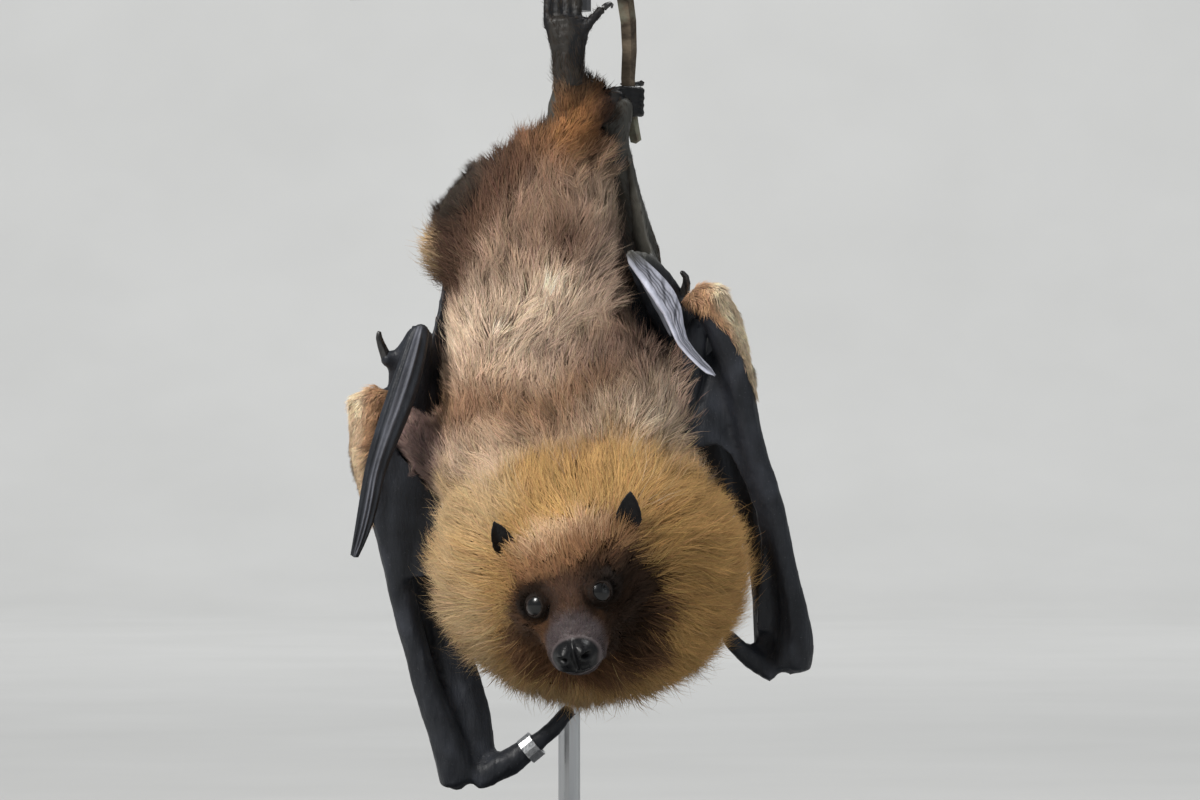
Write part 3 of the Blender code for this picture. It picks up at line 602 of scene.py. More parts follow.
def left_blade_painted_sheen(across, outward, along):
    # Painted sheen on the left blade's front: painted highlight along its ridge and edges, and less sheen,
    # painted shade, in its creases and along a zigzag.
    wavy = across + 0.06 * np.sin(along * 23) + 0.05 * np.sin(along * 57 + 1)
    creases = sum(bump(wavy, place + slope * along, 0.075) for place, slope in LEFT_BLADE_PAINTED_CREASE_SHADE)
    ridge = bump(across, -0.82, 0.24) + 0.4 * bump(across, 0.9, 0.14)
    zigzag = ramp(np.sin(along * 38 + across * 4), 0.55, 0.95) * ramp(across, -0.6, -0.35)
    zigzag = zigzag * (1 - ramp(along, 0.5, 0.7))
    tone = np.clip(0.68 + 0.5 * ridge - 0.62 * creases - 0.35 * zigzag, 0.05, 1.15)
    return ramp(outward, -0.2, 0.2) * tone


def right_blade_painted_sheen(across, outward, along):
    # Painted highlight along two of the right blade's folds, on its front.
    lines = [start + (end - start) * along for start, end, *_ in RIGHT_BLADE_FOLDS[1:3]]
    return ramp(outward, -0.2, 0.2) * 0.22 * sum(bump(across, line, 0.15) for line in lines)


def faint_painted_sheen(across, outward, along):
    # A faint painted sheen on the dark fold behind the left blade, a little more along one side.
    return 0.09 + 0.08 * bump(across, -0.5, 0.3)


def left_blade_rows():
    """The left blade's stations, the finger end with the painted sheen: the solid's own line, drawn out at
    the top and bowed.
    """
    straight = spine("wing_tip_left", SLANT, 20)
    start, end = straight[0, CENTRE], straight[-1, CENTRE]
    start = start - unit(end - start) * 2.7
    share = np.linspace(0, 1, 28)[:, None]
    bow = np.interp(share, *LEFT_BLADE_BOW)
    rows = framed(start + (end - start) * share + straight[10, WIDE] * bow, SLANT)
    return reshaped(rows, LEFT_BLADE_WIDTHS, LEFT_BLADE_DEPTHS)


def fold_behind(rows):
    """A small dark fold that shows behind the left blade's lower edge."""
    part = rows[5:19:2].copy()
    part[:, CENTRE] += BACK * 2.2 - part[:, WIDE] * 2.6
    return reshaped(part, (0.4, 1.5, 1.9, 1.5, 0.4), (0.5, 0.7, 0.5))


def blade_joint(rows, side):
    """The bend at the top, where a finger's end turns back from the rest of the folded hand."""
    return tube_between(rows[1, CENTRE], hand_line(side)[0, CENTRE], 1.3, 2.4)


def blade_web(rows):
    """The membrane between the left blade and the folded hand behind it."""
    return sheet(rows[0:15:3, CENTRE] + BACK * 0.6, hand_line("left")[0:5, CENTRE], 0.9, through=SLANT)


def blade(rows, rings, sides, tone, folds=()):
    """(shape, painted sheen) of one finger end. tone(across, outward, along) says how much painted sheen, a
    silvery grey for the shine of light on the leather, it gets.
    """
    turn = np.linspace(0, math.tau, sides, endpoint=False)[None, :]
    along = np.linspace(0, 1, rings)[:, None]
    painted_sheen = tone(*np.broadcast_arrays(np.cos(turn), np.sin(turn), along))
    return loft(rows, rings, sides, ridges(*folds)), np.append(painted_sheen.reshape(-1), [0, 0])


def blade_shapes():
    """(shape, painted sheen) of the finger ends: a narrow one at the left that is mostly painted sheen, a
    ridged one at the right with painted highlights along two folds.
    """
    left, right = left_blade_rows(), spine("wing_tip_right", RIGHT, 20)
    yield blade_joint(left, "left"), 0
    yield blade_web(left), 0
    yield blade_joint(right, "right"), 0
    yield blade(left, 84, 60, left_blade_painted_sheen, LEFT_BLADE_VEINS)
    yield blade(fold_behind(left), 20, 20, faint_painted_sheen)
    yield blade(right, 60, 60, right_blade_painted_sheen, RIGHT_BLADE_FOLDS)


def wing_shapes():
    """Shapes to join, and (points, group, painted sheen) for the places of both wings."""
    shapes, places = [], []
    for side in SIDES:
        parts = arm_parts(side)
        points, quads = merged([shape for _, shape in parts], VOXEL["wing"], 3, 0.6)
        shapes.append((leather_folds(points, quads), split(quads)))
        places += [(shape[0], group, 0) for group, shape in parts]
    for shape, painted_sheen in blade_shapes():
        shapes.append(shape)
        places.append((shape[0], "wing", painted_sheen))
    return shapes, places


def foot_shape(side):
    points, quads = refined(f"foot_{side}", VOXEL["foot"], 3)
    rings = np.sin((points @ UP) * math.tau / 1.2 + 2.5 * waves(points, 3, 3))
    wrinkle = 0.07 * rings * ramp(waves(points, 4, 4), -0.6, 0.8)
    relief = wrinkle + 0.1 * waves(points, 1.6, 5)
    return points + vertex_normals(points, quads) * relief[:, None], split(quads)


EAR_RINGS, EAR_HALF = 24, 9
EAR_SHIFT = {"left": -3, "right": 2.5}


def ear_ring(centre, out, facing, open_half):
    """One ring of an ear's cup: its outer face, then its inner face back again."""
    outer, inner = [], []
    for angle in np.linspace(-1.3, 1.3, EAR_HALF):
        reach = out * math.sin(angle) * open_half
        depth = facing * (0.9 - math.cos(angle)) * open_half * 0.8
        outer.append(centre + reach + depth - facing * 0.28)
        inner.append(centre + reach * 0.9 + depth * 0.8 + facing * 0.3)
    return outer + inner[::-1]


def ear_end(row):
    """The faces that close the last ring, from its outer to its inner points."""
    outer, inner = row[:EAR_HALF], row[:EAR_HALF - 1:-1]
    return np.stack([outer[:-1], outer[1:], inner[1:], inner[:-1]], axis=1)


def ear_shape(side):
    """A pointed cup, open forwards and outwards."""
    rows = spine(f"ear_{side}", ACROSS, 12)
    if rows[0, 2] > rows[-1, 2]:
        rows = rows[::-1].copy()
    root, tip = rows[0, CENTRE] + RIGHT * EAR_SHIFT[side], rows[-1, CENTRE]
    along = unit(tip - root)
    low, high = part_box(f"ear_{side}")
    widest = 0.56 * (high.x - low.x) / MM
    length = np.linalg.norm(tip - root)
    facing = unit(-BACK - (-BACK @ along) * along)
    out = np.cross(along, facing)
    grid = []
    for share in np.linspace(-0.3, 1.06, EAR_RINGS):
        open_half = widest * (1 - math.exp(-1.1 * length * max(1 - share, 0.0) / widest))
        open_half = open_half * (0.4 + 0.6 * ramp(share, -0.15, 0.4)) + 0.1
        grid += ear_ring(root + (tip - root) * share, out, facing, open_half)
    index = np.arange(len(grid)).reshape(EAR_RINGS, 2 * EAR_HALF)
    faces = split(np.concatenate([tube_walls(index), ear_end(index[0])[:, ::-1], ear_end(index[-1])]))
    points, faces = facing_out(np.array(grid), faces)
    points, quads = remeshed(points - SNOUT * 1.2, faces, VOXEL["ear"])
    return relax(points, edges_of(quads), 0.4, 2), split(quads)


# ---------------------------------------------------------------------------- the body under the coat

# How far the trunk reaches towards the folded wing on its left side: (below its top, in from its widest).
FLANK = ((8, 34), (20, 30), (36, 31), (50, 31), (64, 22), (75, 15.5), (87, 13), (99, 10), (112, 0))
INSET_STEPS = 8
LID_OPENING = {"left": math.radians(34), "right": math.radians(39)}


def nearness(points):
    """How much each point belongs to each coated group and to the bare leg: rows that add up to 1."""
    columns = []
    for nodes in [row[0] for row in COATED.values()] + [BARE_LEG]:
        points_and_faces = several([node_mesh(node) for node in nodes])
        tree = BVHTree.FromPolygons(*[part.tolist() for part in points_and_faces])
        distance = np.array([tree.find_nearest(Vector(point))[3] for point in points])
        columns.append(np.exp(-((distance / 1.6) ** 2)) + 1e-9)
    weights = np.stack(columns, axis=1)
    return weights / weights.sum(axis=1, keepdims=True)


def coat_value(points, weights, column):
    """One of the coat's numbers at each point, blended between groups."""
    values = np.zeros(len(GROUPS))
    values[:len(COATED)] = [row[column] for row in COATED.values()]
    along, _, _ = on_head(points)
    return weights @ values + weights[:, 0] * np.interp(along, FACE_ALONG, FACE_COAT[column])


def flank_hollow(points):
    """Draws the trunk's left side in where the folded wing lies against it."""
    _, high = box_of("trunk")
    heights = [high[2] - below for below, _ in FLANK][::-1]
    limits = [high[0] - inset for _, inset in FLANK][::-1]
    limit = np.interp(points[:, 2], heights, limits)
    over = np.maximum(points[:, 0] - limit, 0)
    inside = (points[:, 2] > heights[0]) & (points[:, 2] < high[2] - 4)
    share = (1 - ramp(points[:, 1], 12, 22)) * inside
    moved = points.copy()
    moved[:, 0] -= share * (over - 1.8 * (1 - np.exp(-over / 1.8)))
    return moved


def ankle(side):
    """A tapered sleeve that carries a shank on into its foot."""
    foot, _ = node_mesh(f"foot_{side}")
    shank, _ = node_mesh(f"shank_{side}")
    heel = foot[foot[:, 2] < foot[:, 2].min() + 4].mean(axis=0) + UP * 3
    top = shank[shank[:, 2] > shank[:, 2].max() - 16].mean(axis=0)
    return tube_between(heel, top, 4.3, 5.6 if side == "right" else 4.3)


def leg_web():
    """The furred web between the right ankle and the left foot."""
    low, _ = box_of("foot_left")
    upper = low + [(-5.3, -6, 15), (-2.5, -4, 12), (0.8, -2, 9.5), (3.6, 1.5, 6.5)]
    lower = low + [(-6, -6, -2), (-3, -5, -4), (0, -2, -4), (3, 1.5, -3)]
    return sheet(upper, lower, 2.6)


def hip():
    """The fuller flesh at the rump's upper left corner."""
    corner = box_of("trunk")[1] * [1, 0, 1]
    return tube_between(corner + [-41, -2, 1], corner + [-33, -1, -17], 4.5, 6.0)


def bare_heel(points):
    """1 on the bare membrane at the outer side of the right heel."""
    low, _ = box_of("foot_right")
    beside = 1 - ramp(points[:, 0], low[0] + 2.6, low[0] + 4.4)
    return beside * band(points[:, 2] - low[2], -14, -11, -3, 1)


def body():
    """The furred body's skin: the flesh solids as one surface, drawn in by the coat's depth."""
    flesh = [swollen(*node_mesh(node), 0.35) for node in FLESH]
    flesh += [ankle("left"), ankle("right"), leg_web(), hip()]
    points, quads = remeshed(*several(flesh), VOXEL["body"])
    weights = np.zeros((len(points), len(GROUPS)))
    weights[:, :len(COATED) + 1] = nearness(points)
    edges = edges_of(quads)
    weights = relax(weights, edges, 0.5, 8)
    points = relax(points, edges, 0.5, 6)
    trunk = weights[:, GROUPS.index("trunk")][:, None]
    points = points * (1 - trunk) + flank_hollow(points) * trunk
    depth = coat_value(points, weights, DEPTH)
    for _ in range(INSET_STEPS):
        points = points - vertex_normals(points, quads) * (depth / INSET_STEPS)[:, None]
        points = relax(points, edges, 0.3 * (1 - 0.8 * weights[:, 0]), 1)
    along, side, crown = on_head(points)
    behind_face = band(-along, 4, 12, 34, 42) * (1 - ramp(np.hypot(side, crown + 4), 28, 36))
    points = relax(points, edges, 0.5 * behind_face, 36)
    return points, quads, weights


def subdivided(points, faces, chosen):
    """Splits each chosen face's edges in two."""
    bm = bmesh.new()
    bm.from_mesh(made_mesh("coarse", points, faces))
    bm.faces.ensure_lookup_table()
    edges = {edge for index in np.flatnonzero(chosen) for edge in bm.faces[index].edges}
    bmesh.ops.subdivide_edges(bm, edges=list(edges), cuts=1, use_grid_fill=True)
    bmesh.ops.triangulate(bm, faces=bm.faces)
    mesh = bpy.data.meshes.new("fine")
    bm.to_mesh(mesh)
    bm.free()
    return arrays_of(mesh)


def with_fine_face(points, quads, weights):
    """The body as triangles, with a finer mesh on the face and the finest round the eyes and nose."""
    along, _, _ = on_head(points)
    chosen = ((weights[:, 0] > 0.35) & (along > -11))[quads].any(axis=1)
    fine, faces = subdivided(points, quads, chosen)
    along, side, crown = on_head(fine)
    near = (along > NOSE_ALONG - 5) & (np.abs(side) < 10) & (crown > NOSE_CROWN - 9)
    near |= eye_distance(fine) < EYE_RADIUS + 2.5
    fine, faces = subdivided(fine, faces, near[faces].any(axis=1))
    edges = edges_of(faces)
    weights = relax(weights[nearest(points, fine)], edges, 0.5, 6)
    along, _, _ = on_head(fine)
    fine = relax(fine, edges, 0.4 * (weights[:, 0] > 0.3) * (along > -18), 4)
    return fine, faces, weights


def lid_axis(side):
    """The direction in which an eye looks out between its lids."""
    sign = 1 if side == "left" else -1
    return unit(SNOUT * 0.76 + ACROSS * sign * 0.44 + CROWN * 0.38)


def lip_height(along):
    return NOSE_CROWN - 4.6 - 0.12 * (NOSE_ALONG - along)


def mouth_line(points):
    """1 along the mouth, from below the nose to below the eyes."""
    along, _, crown = on_head(points)
    line = bump(crown, lip_height(along), 0.6) * ramp(along, -2, 3)
    return line * (1 - ramp(along, NOSE_ALONG + 1, NOSE_ALONG + 3))


def with_orbits(points, normals, along, side, crown):
    """The hollow in front of each eye, and the flesh that the eyes lie in."""
    for sign in (1, -1):
        hollow = bump(along, 6.5, 4) * bump(side * sign, 8.5, 3.0) * bump(crown, -2.5, 3.2)
        points = points - normals * (1.3 * hollow)[:, None]
    return points + normals * (0.8 * bump(eye_distance(points), EYE_RADIUS + 1.5, 3.4))[:, None]


def with_lips(points, normals, along, crown):
    """A groove between the upper lip and the jaw, and the roll of the lip."""
    points = points - normals * (1.1 * mouth_line(points))[:, None]
    roll = bump(crown, lip_height(along) + 1.5, 0.9) * ramp(along, 4, 9)
    return points + normals * (0.35 * roll)[:, None]


def with_nose(points, faces, along, side, crown):
    """Two raised nostrils with a groove between them, and a soft rim round the pad."""
    front = ramp(along, NOSE_ALONG - 2.5, NOSE_ALONG + 0.5)
    for sign in (1, -1):
        lump = bump(side * sign, 2.8, 2.3) * bump(crown, NOSE_CROWN + 1.9, 2.6) * front
        points = points + (SNOUT * 0.9 + ACROSS * sign * 0.3 + CROWN * 0.5) * (1.7 * lump)[:, None]
    split_line = bump(side, 0, 0.75) * ramp(crown, NOSE_CROWN - 6, NOSE_CROWN - 3) * front
    points = points - SNOUT * (1.1 * split_line)[:, None]
    rim = band(along, NOSE_ALONG - 4.2, NOSE_ALONG - 2.8, NOSE_ALONG - 2.6, NOSE_ALONG - 1.4)
    points = points - vertex_normals(points, faces) * (0.12 * rim)[:, None]
    _, side, crown = on_head(points)
    for sign in (1, -1):
        hole = bump(side * sign, 3.7, 1.15) * bump(crown, NOSE_CROWN + 1.6, 0.9) * front
        points = points - (SNOUT + ACROSS * sign * 0.5) * (2.4 * hole)[:, None]
    return points


def with_lids(points, name):
    """Draws the skin round an eyeball up into a mound over it, with lids round the opening."""
    centre, opening, axis = EYES[name], LID_OPENING[name], lid_axis(name)
    reach = points - centre
    height = reach @ axis
    flat = reach - height[:, None] * axis
    outwards = np.linalg.norm(flat, axis=1)
    angle = outwards / (EYE_RADIUS + 2.0) * math.pi / 2
    inside = 1 - ramp(angle, opening - 0.16, opening + 0.04)
    rim = bump(angle, opening + 0.1, 0.08)
    radius = (EYE_RADIUS + 0.15 + 0.15 * rim) * (1 - inside) + (EYE_RADIUS - 1.2) * inside
    mound = centre + radius[:, None] * (unit(flat) * np.sin(angle)[:, None] + axis * np.cos(angle)[:, None])
    share = (1 - ramp(outwards, EYE_RADIUS + 0.4, EYE_RADIUS + 3.2)) * (height > -EYE_RADIUS)
    return points + (mound - points) * share[:, None]


def sculpted_face(points, faces):
    """The face with its eye sockets and lids, its lips and its nose."""
    normals = vertex_normals(points, faces)
    along, side, crown = on_head(points)
    points = with_orbits(points, normals, along, side, crown)
    points = with_lips(points, normals, along, crown)
    points = with_nose(points, faces, along, side, crown)
    for name in EYES:
        points = with_lids(points, name)
    return points


def joined_skin():
    """One closed skin: the body with the wings, ears and feet joined to it, and each point's groups."""
    points, faces, weights = with_fine_face(*body())
    points = sculpted_face(points, faces)
    shapes, places = wing_shapes()
    for group, make in (("ear", ear_shape), ("foot", foot_shape)):
        more = [make(side) for side in SIDES]
        shapes += more
        places += [(shape[0], group, 0) for shape in more]
    all_points, all_weights = [points], [weights]
    for part_points, group, painted_sheen in places:
        rows = np.zeros((len(part_points), len(GROUPS)))
        rows[:, GROUPS.index(group)] = 1
        rows[:, GROUPS.index("painted_sheen")] = painted_sheen
        all_points.append(part_points)
        all_weights.append(rows)
    points, faces = union((points, faces), shapes)
    return points, faces, np.concatenate(all_weights)[nearest(np.concatenate(all_points), points)]


# ---------------------------------------------------------------------------- colours of skin and coat

CREAM = (0.8, 0.6, 0.44)
ROSE = (0.33, 0.22, 0.17)
BROWN = (0.075, 0.042, 0.029)
RUMP = (0.22, 0.12, 0.075)
GOLD = (0.5, 0.3, 0.118)
DEEP_GOLD = (0.48, 0.28, 0.105)
PALE_GOLD = (0.56, 0.4, 0.23)
ORANGE = (0.36, 0.17, 0.07)
FOREHEAD = (0.8, 0.54, 0.33)
BROW = (0.26, 0.135, 0.066)
RUST = (0.26, 0.14, 0.075)
RUSSET = (0.085, 0.042, 0.021)
DARK = (0.014, 0.008, 0.005)
MAUVE = (0.09, 0.071, 0.071)
SHORT_GREY = (0.3, 0.205, 0.18)
ELBOW = (0.85, 0.66, 0.45)
ELBOW_TAN = (0.56, 0.33, 0.19)
LEG_HAIR = (0.055, 0.043, 0.034)
LEG_SKIN = (0.06, 0.058, 0.05)
LEATHER = (0.017, 0.019, 0.024)
SLATE = (0.05, 0.055, 0.07)
PAINTED_SHEEN_GREY = (0.52, 0.53, 0.62)
INKY = (0.008, 0.008, 0.009)
FOOT_SKIN = (0.028, 0.025, 0.022)
NOSE_BLACK = (0.0035, 0.0035, 0.004)


def mixed(colour, other, share):
    share = np.asarray(share, float).reshape(-1, 1)
    return np.asarray(colour, float) * (1 - share) + np.asarray(other, float) * share


def painted(colour, *layers):
    """A colour with each (other colour, share) laid over it in turn."""
    for other, share in layers:
        colour = mixed(colour, other, share)
    return colour


def group_share(weights, *names):
    return sum(weights[:, GROUPS.index(name)] for name in names)


def back_colour(points, patch, streak):
    """The trunk: cream, with a rusty band, a rosy side, a brown rump and left edge, and an orange top."""
    low, high = box_of("trunk")
    height = (points[:, 2] - low[2]) / (high[2] - low[2])
    width = (points[:, 0] - (low[0] + high[0]) / 2) / (high[0] - low[0]) * 2
    band_height = 0.36 + 0.2 * np.maximum(width + 0.3, 0)
    rosy = 0.9 * ramp(width + 0.25 * patch, -0.15, 0.45) * ramp(height, 0.4, 0.5)
    right_side = ramp(width, -0.1, 0.3)
    rump = ramp(height + 0.05 * patch - 0.1 * right_side, 0.6, 0.78)
    brown_edge = np.interp(height, (0.6, 0.78, 0.92, 1), (0.8, 0.56, 0.25, 0.06))
    left_top = ramp(-width - brown_edge + 0.05 * patch, -0.08, 0.12) * ramp(height, 0.54, 0.64)
    centre_top = ramp(height, 0.86, 0.95) * bump(width, 0.05, 0.35)
    return painted(
        CREAM,
        (RUST, 0.9 * bump(height + 0.02 * patch, band_height, 0.1)),
        (ROSE, rosy * (1 - ramp(height, 0.72, 0.84))),
        (RUMP, 0.8 * rump * (1 - 0.6 * right_side)),
        (np.array(BROWN) * [1.5, 1.4, 1.3], 0.93 * left_top),
        (ORANGE, 0.65 * centre_top),
        (BROWN, 0.26 * ramp(streak, 0.3, 1.1)),
    )


def ruff_colour(points, across, patch, streak):
    """The ruff: gold, paler at its left and its rim, deeper at its right, with a rusty nape. The paler left
    and the deeper right are partly the fur's own colour and partly painted light and shade, the left being
    the lit side.
    """
    _, y, z = points.T
    centre = middle("neck_ruff")
    rim = np.hypot(across, (z - centre[2]) / 42)
    nape = bump(across, -0.1, 0.3) * ramp(z, centre[2] + 30, centre[2] + 38)
    return painted(
        GOLD,
        # The paler left and the deeper right are partly the ruff's own colour and partly painted light and
        # shade: the left is the lit side, the right the shaded side.
        (PALE_GOLD, 0.75 * ramp(-across + 0.2 * patch, 0.4, 1.0)),
        (PALE_GOLD, 0.5 * ramp(rim + 0.05 * patch, 0.86, 1.0)),
        (DEEP_GOLD, ramp(across + 0.25 * patch, 0.1, 0.7)),
        (DEEP_GOLD, 0.4 * ramp(streak, 0.3, 1.1)),
        (RUST, 0.5 * nape),
        (ORANGE, 0.6 * ramp(y, centre[1] + 14, centre[1] + 30)),
    )


def lower_left(right, up):
    """1 on the lower left of the face as seen from in front."""
    return ramp(-up, 6, 14) * ramp(4 - right, 0, 6)


def face_colour(points):
    """The face: a russet mask, darkest round the eyes, a mauve muzzle and a forehead that pales upwards. The
    mask reaches further at its lower left, and its russet is painted lighter there: painted light where
    shade falls under the cheek.
    """
    along, side, _ = on_head(points)
    right, up = on_mask(points)
    patch, fine = waves(points, 9, 21), waves(points, 4, 22)
    wider_mask_and_painted_light = lower_left(right, up)
    cheek = ramp(right + patch, 5, 11) * (1 - ramp(up, 5, 12))
    climb = up - 0.3 * np.maximum(right, 0) + 0.9 * patch + 0.5 * fine
    # The russet is painted up to 1.6 times lighter at the lower left: painted light where shade falls under
    # the cheek.
    colour = painted(
        np.array(RUSSET) * (1 + 0.6 * wider_mask_and_painted_light)[:, None],
        (DARK, 0.7 * cheek), (BROW, ramp(climb, 7.5, 12)), (FOREHEAD, 0.9 * ramp(climb, 14.5, 23)),
    )
    for sign, wide in ((1, 6.2), (-1, 5.2)):
        spot = np.hypot((right - sign * 9.7) / 1.1, up - 1.8) + 0.7 * patch
        colour = mixed(colour, DARK, 0.95 * (1 - ramp(spot, wide - 1, wide + 3)))
    bridge = bump(right, 0, 6) * bump(up, 3, 6)
    spread = np.hypot(right - 5.5, up + 4.5) - 3 * wider_mask_and_painted_light + 1.3 * patch + 0.9 * fine
    return painted(
        colour,
        (BROWN, 0.8 * bridge),
        (DEEP_GOLD, ramp(spread, 25, 30) * (1 - ramp(up, 12, 18))),
        (RUST, 0.5 * bump(spread, 25, 2.5) * ramp(-up, 0, 6)),
        (GOLD, ramp(spread, 28, 34)),
        (MAUVE, ramp(along, 6, 11) * (1 - ramp(np.abs(side), 7.5, 11))),
    )


def thigh_colour(points):
    """The thigh: brown, with a pale edge at its outer side."""
    edge = ramp(box_of("thigh_right")[0][0] + 6 - points[:, 0], 0, 6) * (1 - ramp(points[:, 1], 2, 8))
    return mixed(BROWN, PALE_GOLD, 0.75 * edge)


def elbow_colour(points):
    """Tan at the elbow's inner side and pale at its outer side."""
    shares = {side: ramp(elbow_place(points, side)[1], 0.5, 4.5) for side in SIDES}
    return painted(ELBOW_TAN, (ELBOW, shares["left"]), (ELBOW, 0.65 * shares["right"]))


def coat_colour(points, weights):
    """The coat's markings, with painted light and shade on the face and the ruff, as a formula of place on
    the body, in linear colour.
    """
    x, y, z = points.T
    centre = middle("neck_ruff")
    across = (x - centre[0]) / 45
    patch, streak = waves(points, 16, 11), waves(points * [1, 1, 0.35], 5, 12)
    back = back_colour(points, patch, streak)
    gold = ruff_colour(points, across, patch, streak)
    meeting = z + 5 * patch + 3.5 * streak + 12 * ramp(-across, 0.1, 0.7) + 7 * ramp(across, 0.05, 0.35)
    front = ramp(centre[1] + 12 - y, 0, 8)
    back = mixed(back, gold, front * (1 - ramp(meeting, centre[2] + 36, centre[2] + 52)))
    gold = mixed(gold, back, front * 0.8 * ramp(meeting, centre[2] + 32, centre[2] + 46))
    face = face_colour(points)
    right, up = on_mask(points)
    from_mask = np.hypot(right - 5.5, up + 3.5) - 3 * lower_left(right, up)
    gold = mixed(gold, face, (1 - ramp(from_mask, 28.5, 33)) * ramp(centre[1] - 16 - y, 0, 5))
    foot_low = box_of("foot_right")[0][2]
    warm = (1 - ramp(z, foot_low - 8, foot_low + 5)) * ramp(x, -13, -5)
    colours = {
        "face": face,
        "ruff": gold,
        "trunk": back,
        "thigh": thigh_colour(points),
        "shank": mixed(LEG_HAIR, ORANGE, 0.7 * warm),
        "leg": np.array(LEG_HAIR),
        "tail": mixed(ORANGE, BROWN, ramp(x, -1, 7)),
        "shoulder": mixed(ROSE, BROWN, 0.5 * ramp(z, centre[2] + 50, centre[2] + 70)),
        "arm": np.array(SHORT_GREY),
        "forearm": elbow_colour(points),
        "foot": mixed(LEG_HAIR, ORANGE, 0.5 * warm),
    }
    total, shares = np.zeros((len(points), 3)), np.zeros(len(points))
    for name, colour in colours.items():
        share = group_share(weights, name) ** 1.5
        total += colour * share[:, None]
        shares += share
    return total / np.maximum(shares, 1e-6)[:, None]


def nose_pad(points):
    along, side, crown = on_head(points)
    pad = ramp(along, NOSE_ALONG - 2.0, NOSE_ALONG - 0.4) * ramp(crown, NOSE_CROWN - 6.0, NOSE_CROWN - 4.6)
    half_width = 7.0 + 0.45 * np.clip(crown - NOSE_CROWN, -6, 0.5)
    return pad * (1 - ramp(np.abs(side), half_width - 0.8, half_width + 0.8))


def lids(points):
    """1 on the lids, 0 from a few millimetres away."""
    return 1 - ramp(eye_distance(points), EYE_RADIUS + 0.8, EYE_RADIUS + 3)


def left_toes(points, weights):
    edge = box_of("foot_left")[0][0]
    return group_share(weights, "foot") * ramp(points[:, 0], edge + 5, edge + 7)


def wing_colour(points, weights, patch):
    """Leather with slate patches, a silvery grey painted sheen on the finger ends, and the leg's own skin
    beside the leg.
    """
    hand_top = box_of("hand_left")[1][2]
    beside_leg = ramp(points[:, 2], hand_top - 9, hand_top - 2) * (points[:, 0] > 5)
    return painted(
        LEATHER,
        (SLATE, 0.35 * ramp(patch, 0.2, 1.2)),
        # The finger ends are painted a silvery grey: painted sheen for the shine of light on their black
        # leather.
        (PAINTED_SHEEN_GREY, group_share(weights, "painted_sheen")),
        (LEG_SKIN, beside_leg),
    )


def skin_colour(points, weights, coat):
    """The bare skin's colour: the coat's own, darker, under the fur, and leather with a painted sheen on the
    wings.
    """
    along, _, _ = on_head(points)
    patch = waves(points, 7, 31)
    face = group_share(weights, "face")
    furred = 1 - np.clip(elbow_fur(points, weights), 0, 1)
    bare = group_share(weights, *LEATHERY) * furred + bare_shoulder(points, weights)
    foot = painted(FOOT_SKIN, (INKY, ramp(patch, 0, 0.8)), (NOSE_BLACK, left_toes(points, weights)))
    return painted(
        coat * (0.45 + 0.3 * face)[:, None],
        (wing_colour(points, weights, patch), bare),
        (LEG_SKIN, group_share(weights, "leg")),
        (INKY, group_share(weights, "ear")),
        (foot, group_share(weights, "foot")),
        (MAUVE, face * ramp(along, 5, 10)),
        (DARK, mouth_line(points) * face),
        (NOSE_BLACK, nose_pad(points)),
        (LEG_SKIN, bare_heel(points)),
        (DARK, lids(points)),
    )


# ---------------------------------------------------------------------------- where the coat grows

# The inner edge of the elbow's fur: heights up the forearm, and millimetres outwards from its middle line.
ELBOW_EDGE = {
    "left": ((0.63, 0.67, 0.74, 0.8, 0.86, 0.91, 0.95), (7, 5, 3.4, 2.8, 1.2, -2, -8)),
    "right": ((0.6, 0.68, 0.82, 0.93), (7, 2.5, 0.5, -8)),
}
FOREARM_LINES = {side: spine(f"forearm_{side}", RIGHT, 20)[::-1] for side in SIDES}


def elbow_place(points, side):
    """Height up a forearm from 0 to 1, and millimetres outwards from its middle line."""
    low, high = box_of(f"forearm_{side}")
    line = FOREARM_LINES[side]
    sign = 1 if side == "left" else -1
    height = (points[:, 2] - low[2]) / (high[2] - low[2])
    outer = (points[:, 0] - np.interp(points[:, 2], line[:, 2], line[:, 0])) * sign
    own_side = points[:, 0] * sign > 20
    return height * own_side, outer * own_side


def elbow_fur(points, weights):
    """Where a forearm is furred: all round the elbow, then a strip that narrows down its outer side."""
    share = np.zeros(len(points))
    for side in SIDES:
        height, outer = elbow_place(points, side)
        edge = np.interp(height, *ELBOW_EDGE[side])
        share += ramp(height, 0.6, 0.68) * ramp(outer, edge, edge + 1.5)
    return share * group_share(weights, "forearm")


def ankle_share(points):
    """1 at the lower end of the right foot, 0 from a few millimetres up."""
    low, high = box_of("foot_right")
    near = (points[:, 0] > low[0] - 3) & (points[:, 0] < high[0] + 3)
    return near * (1 - ramp(points[:, 2], low[2] + 2, low[2] + 13))


def cheek_share(points):
    """1 on the sides and the lower rim of the face, where the fur stands out, 0 on its front."""
    along, side, crown = on_head(points)
    round_face = ramp(np.hypot(side, crown + 3), 9, 15)
    return round_face * ramp(-along, -8, 2) * (1 - 0.5 * ramp(crown, 4, 10))


def bare_shoulder(points, weights):
    """1 on the left upper arm's leather, which only has fur beside the back."""
    start = box_of("arm_membrane_left")[0][0] - 11
    return group_share(weights, "shoulder") * ramp(points[:, 0], start, start + 2.5)


def near_ears(points):
    """1 on the fur that would hide the ears' tips, 0 from a few millimetres away."""
    share = np.zeros(len(points))
    for side in SIDES:
        low, high = box_of(f"ear_{side}")
        across = np.hypot(points[:, 0] - (low[0] + high[0]) / 2, points[:, 2] - (high[2] - 3))
        share = np.maximum(share, (1 - ramp(across, 3, 6.5)) * (points[:, 1] < high[1] + 4))
    return share


def near_eyes(points):
    """1 at the lids, 0 from a few millimetres away."""
    return 1 - ramp(eye_distance(points), EYE_RADIUS + 0.5, EYE_RADIUS + 7.5)


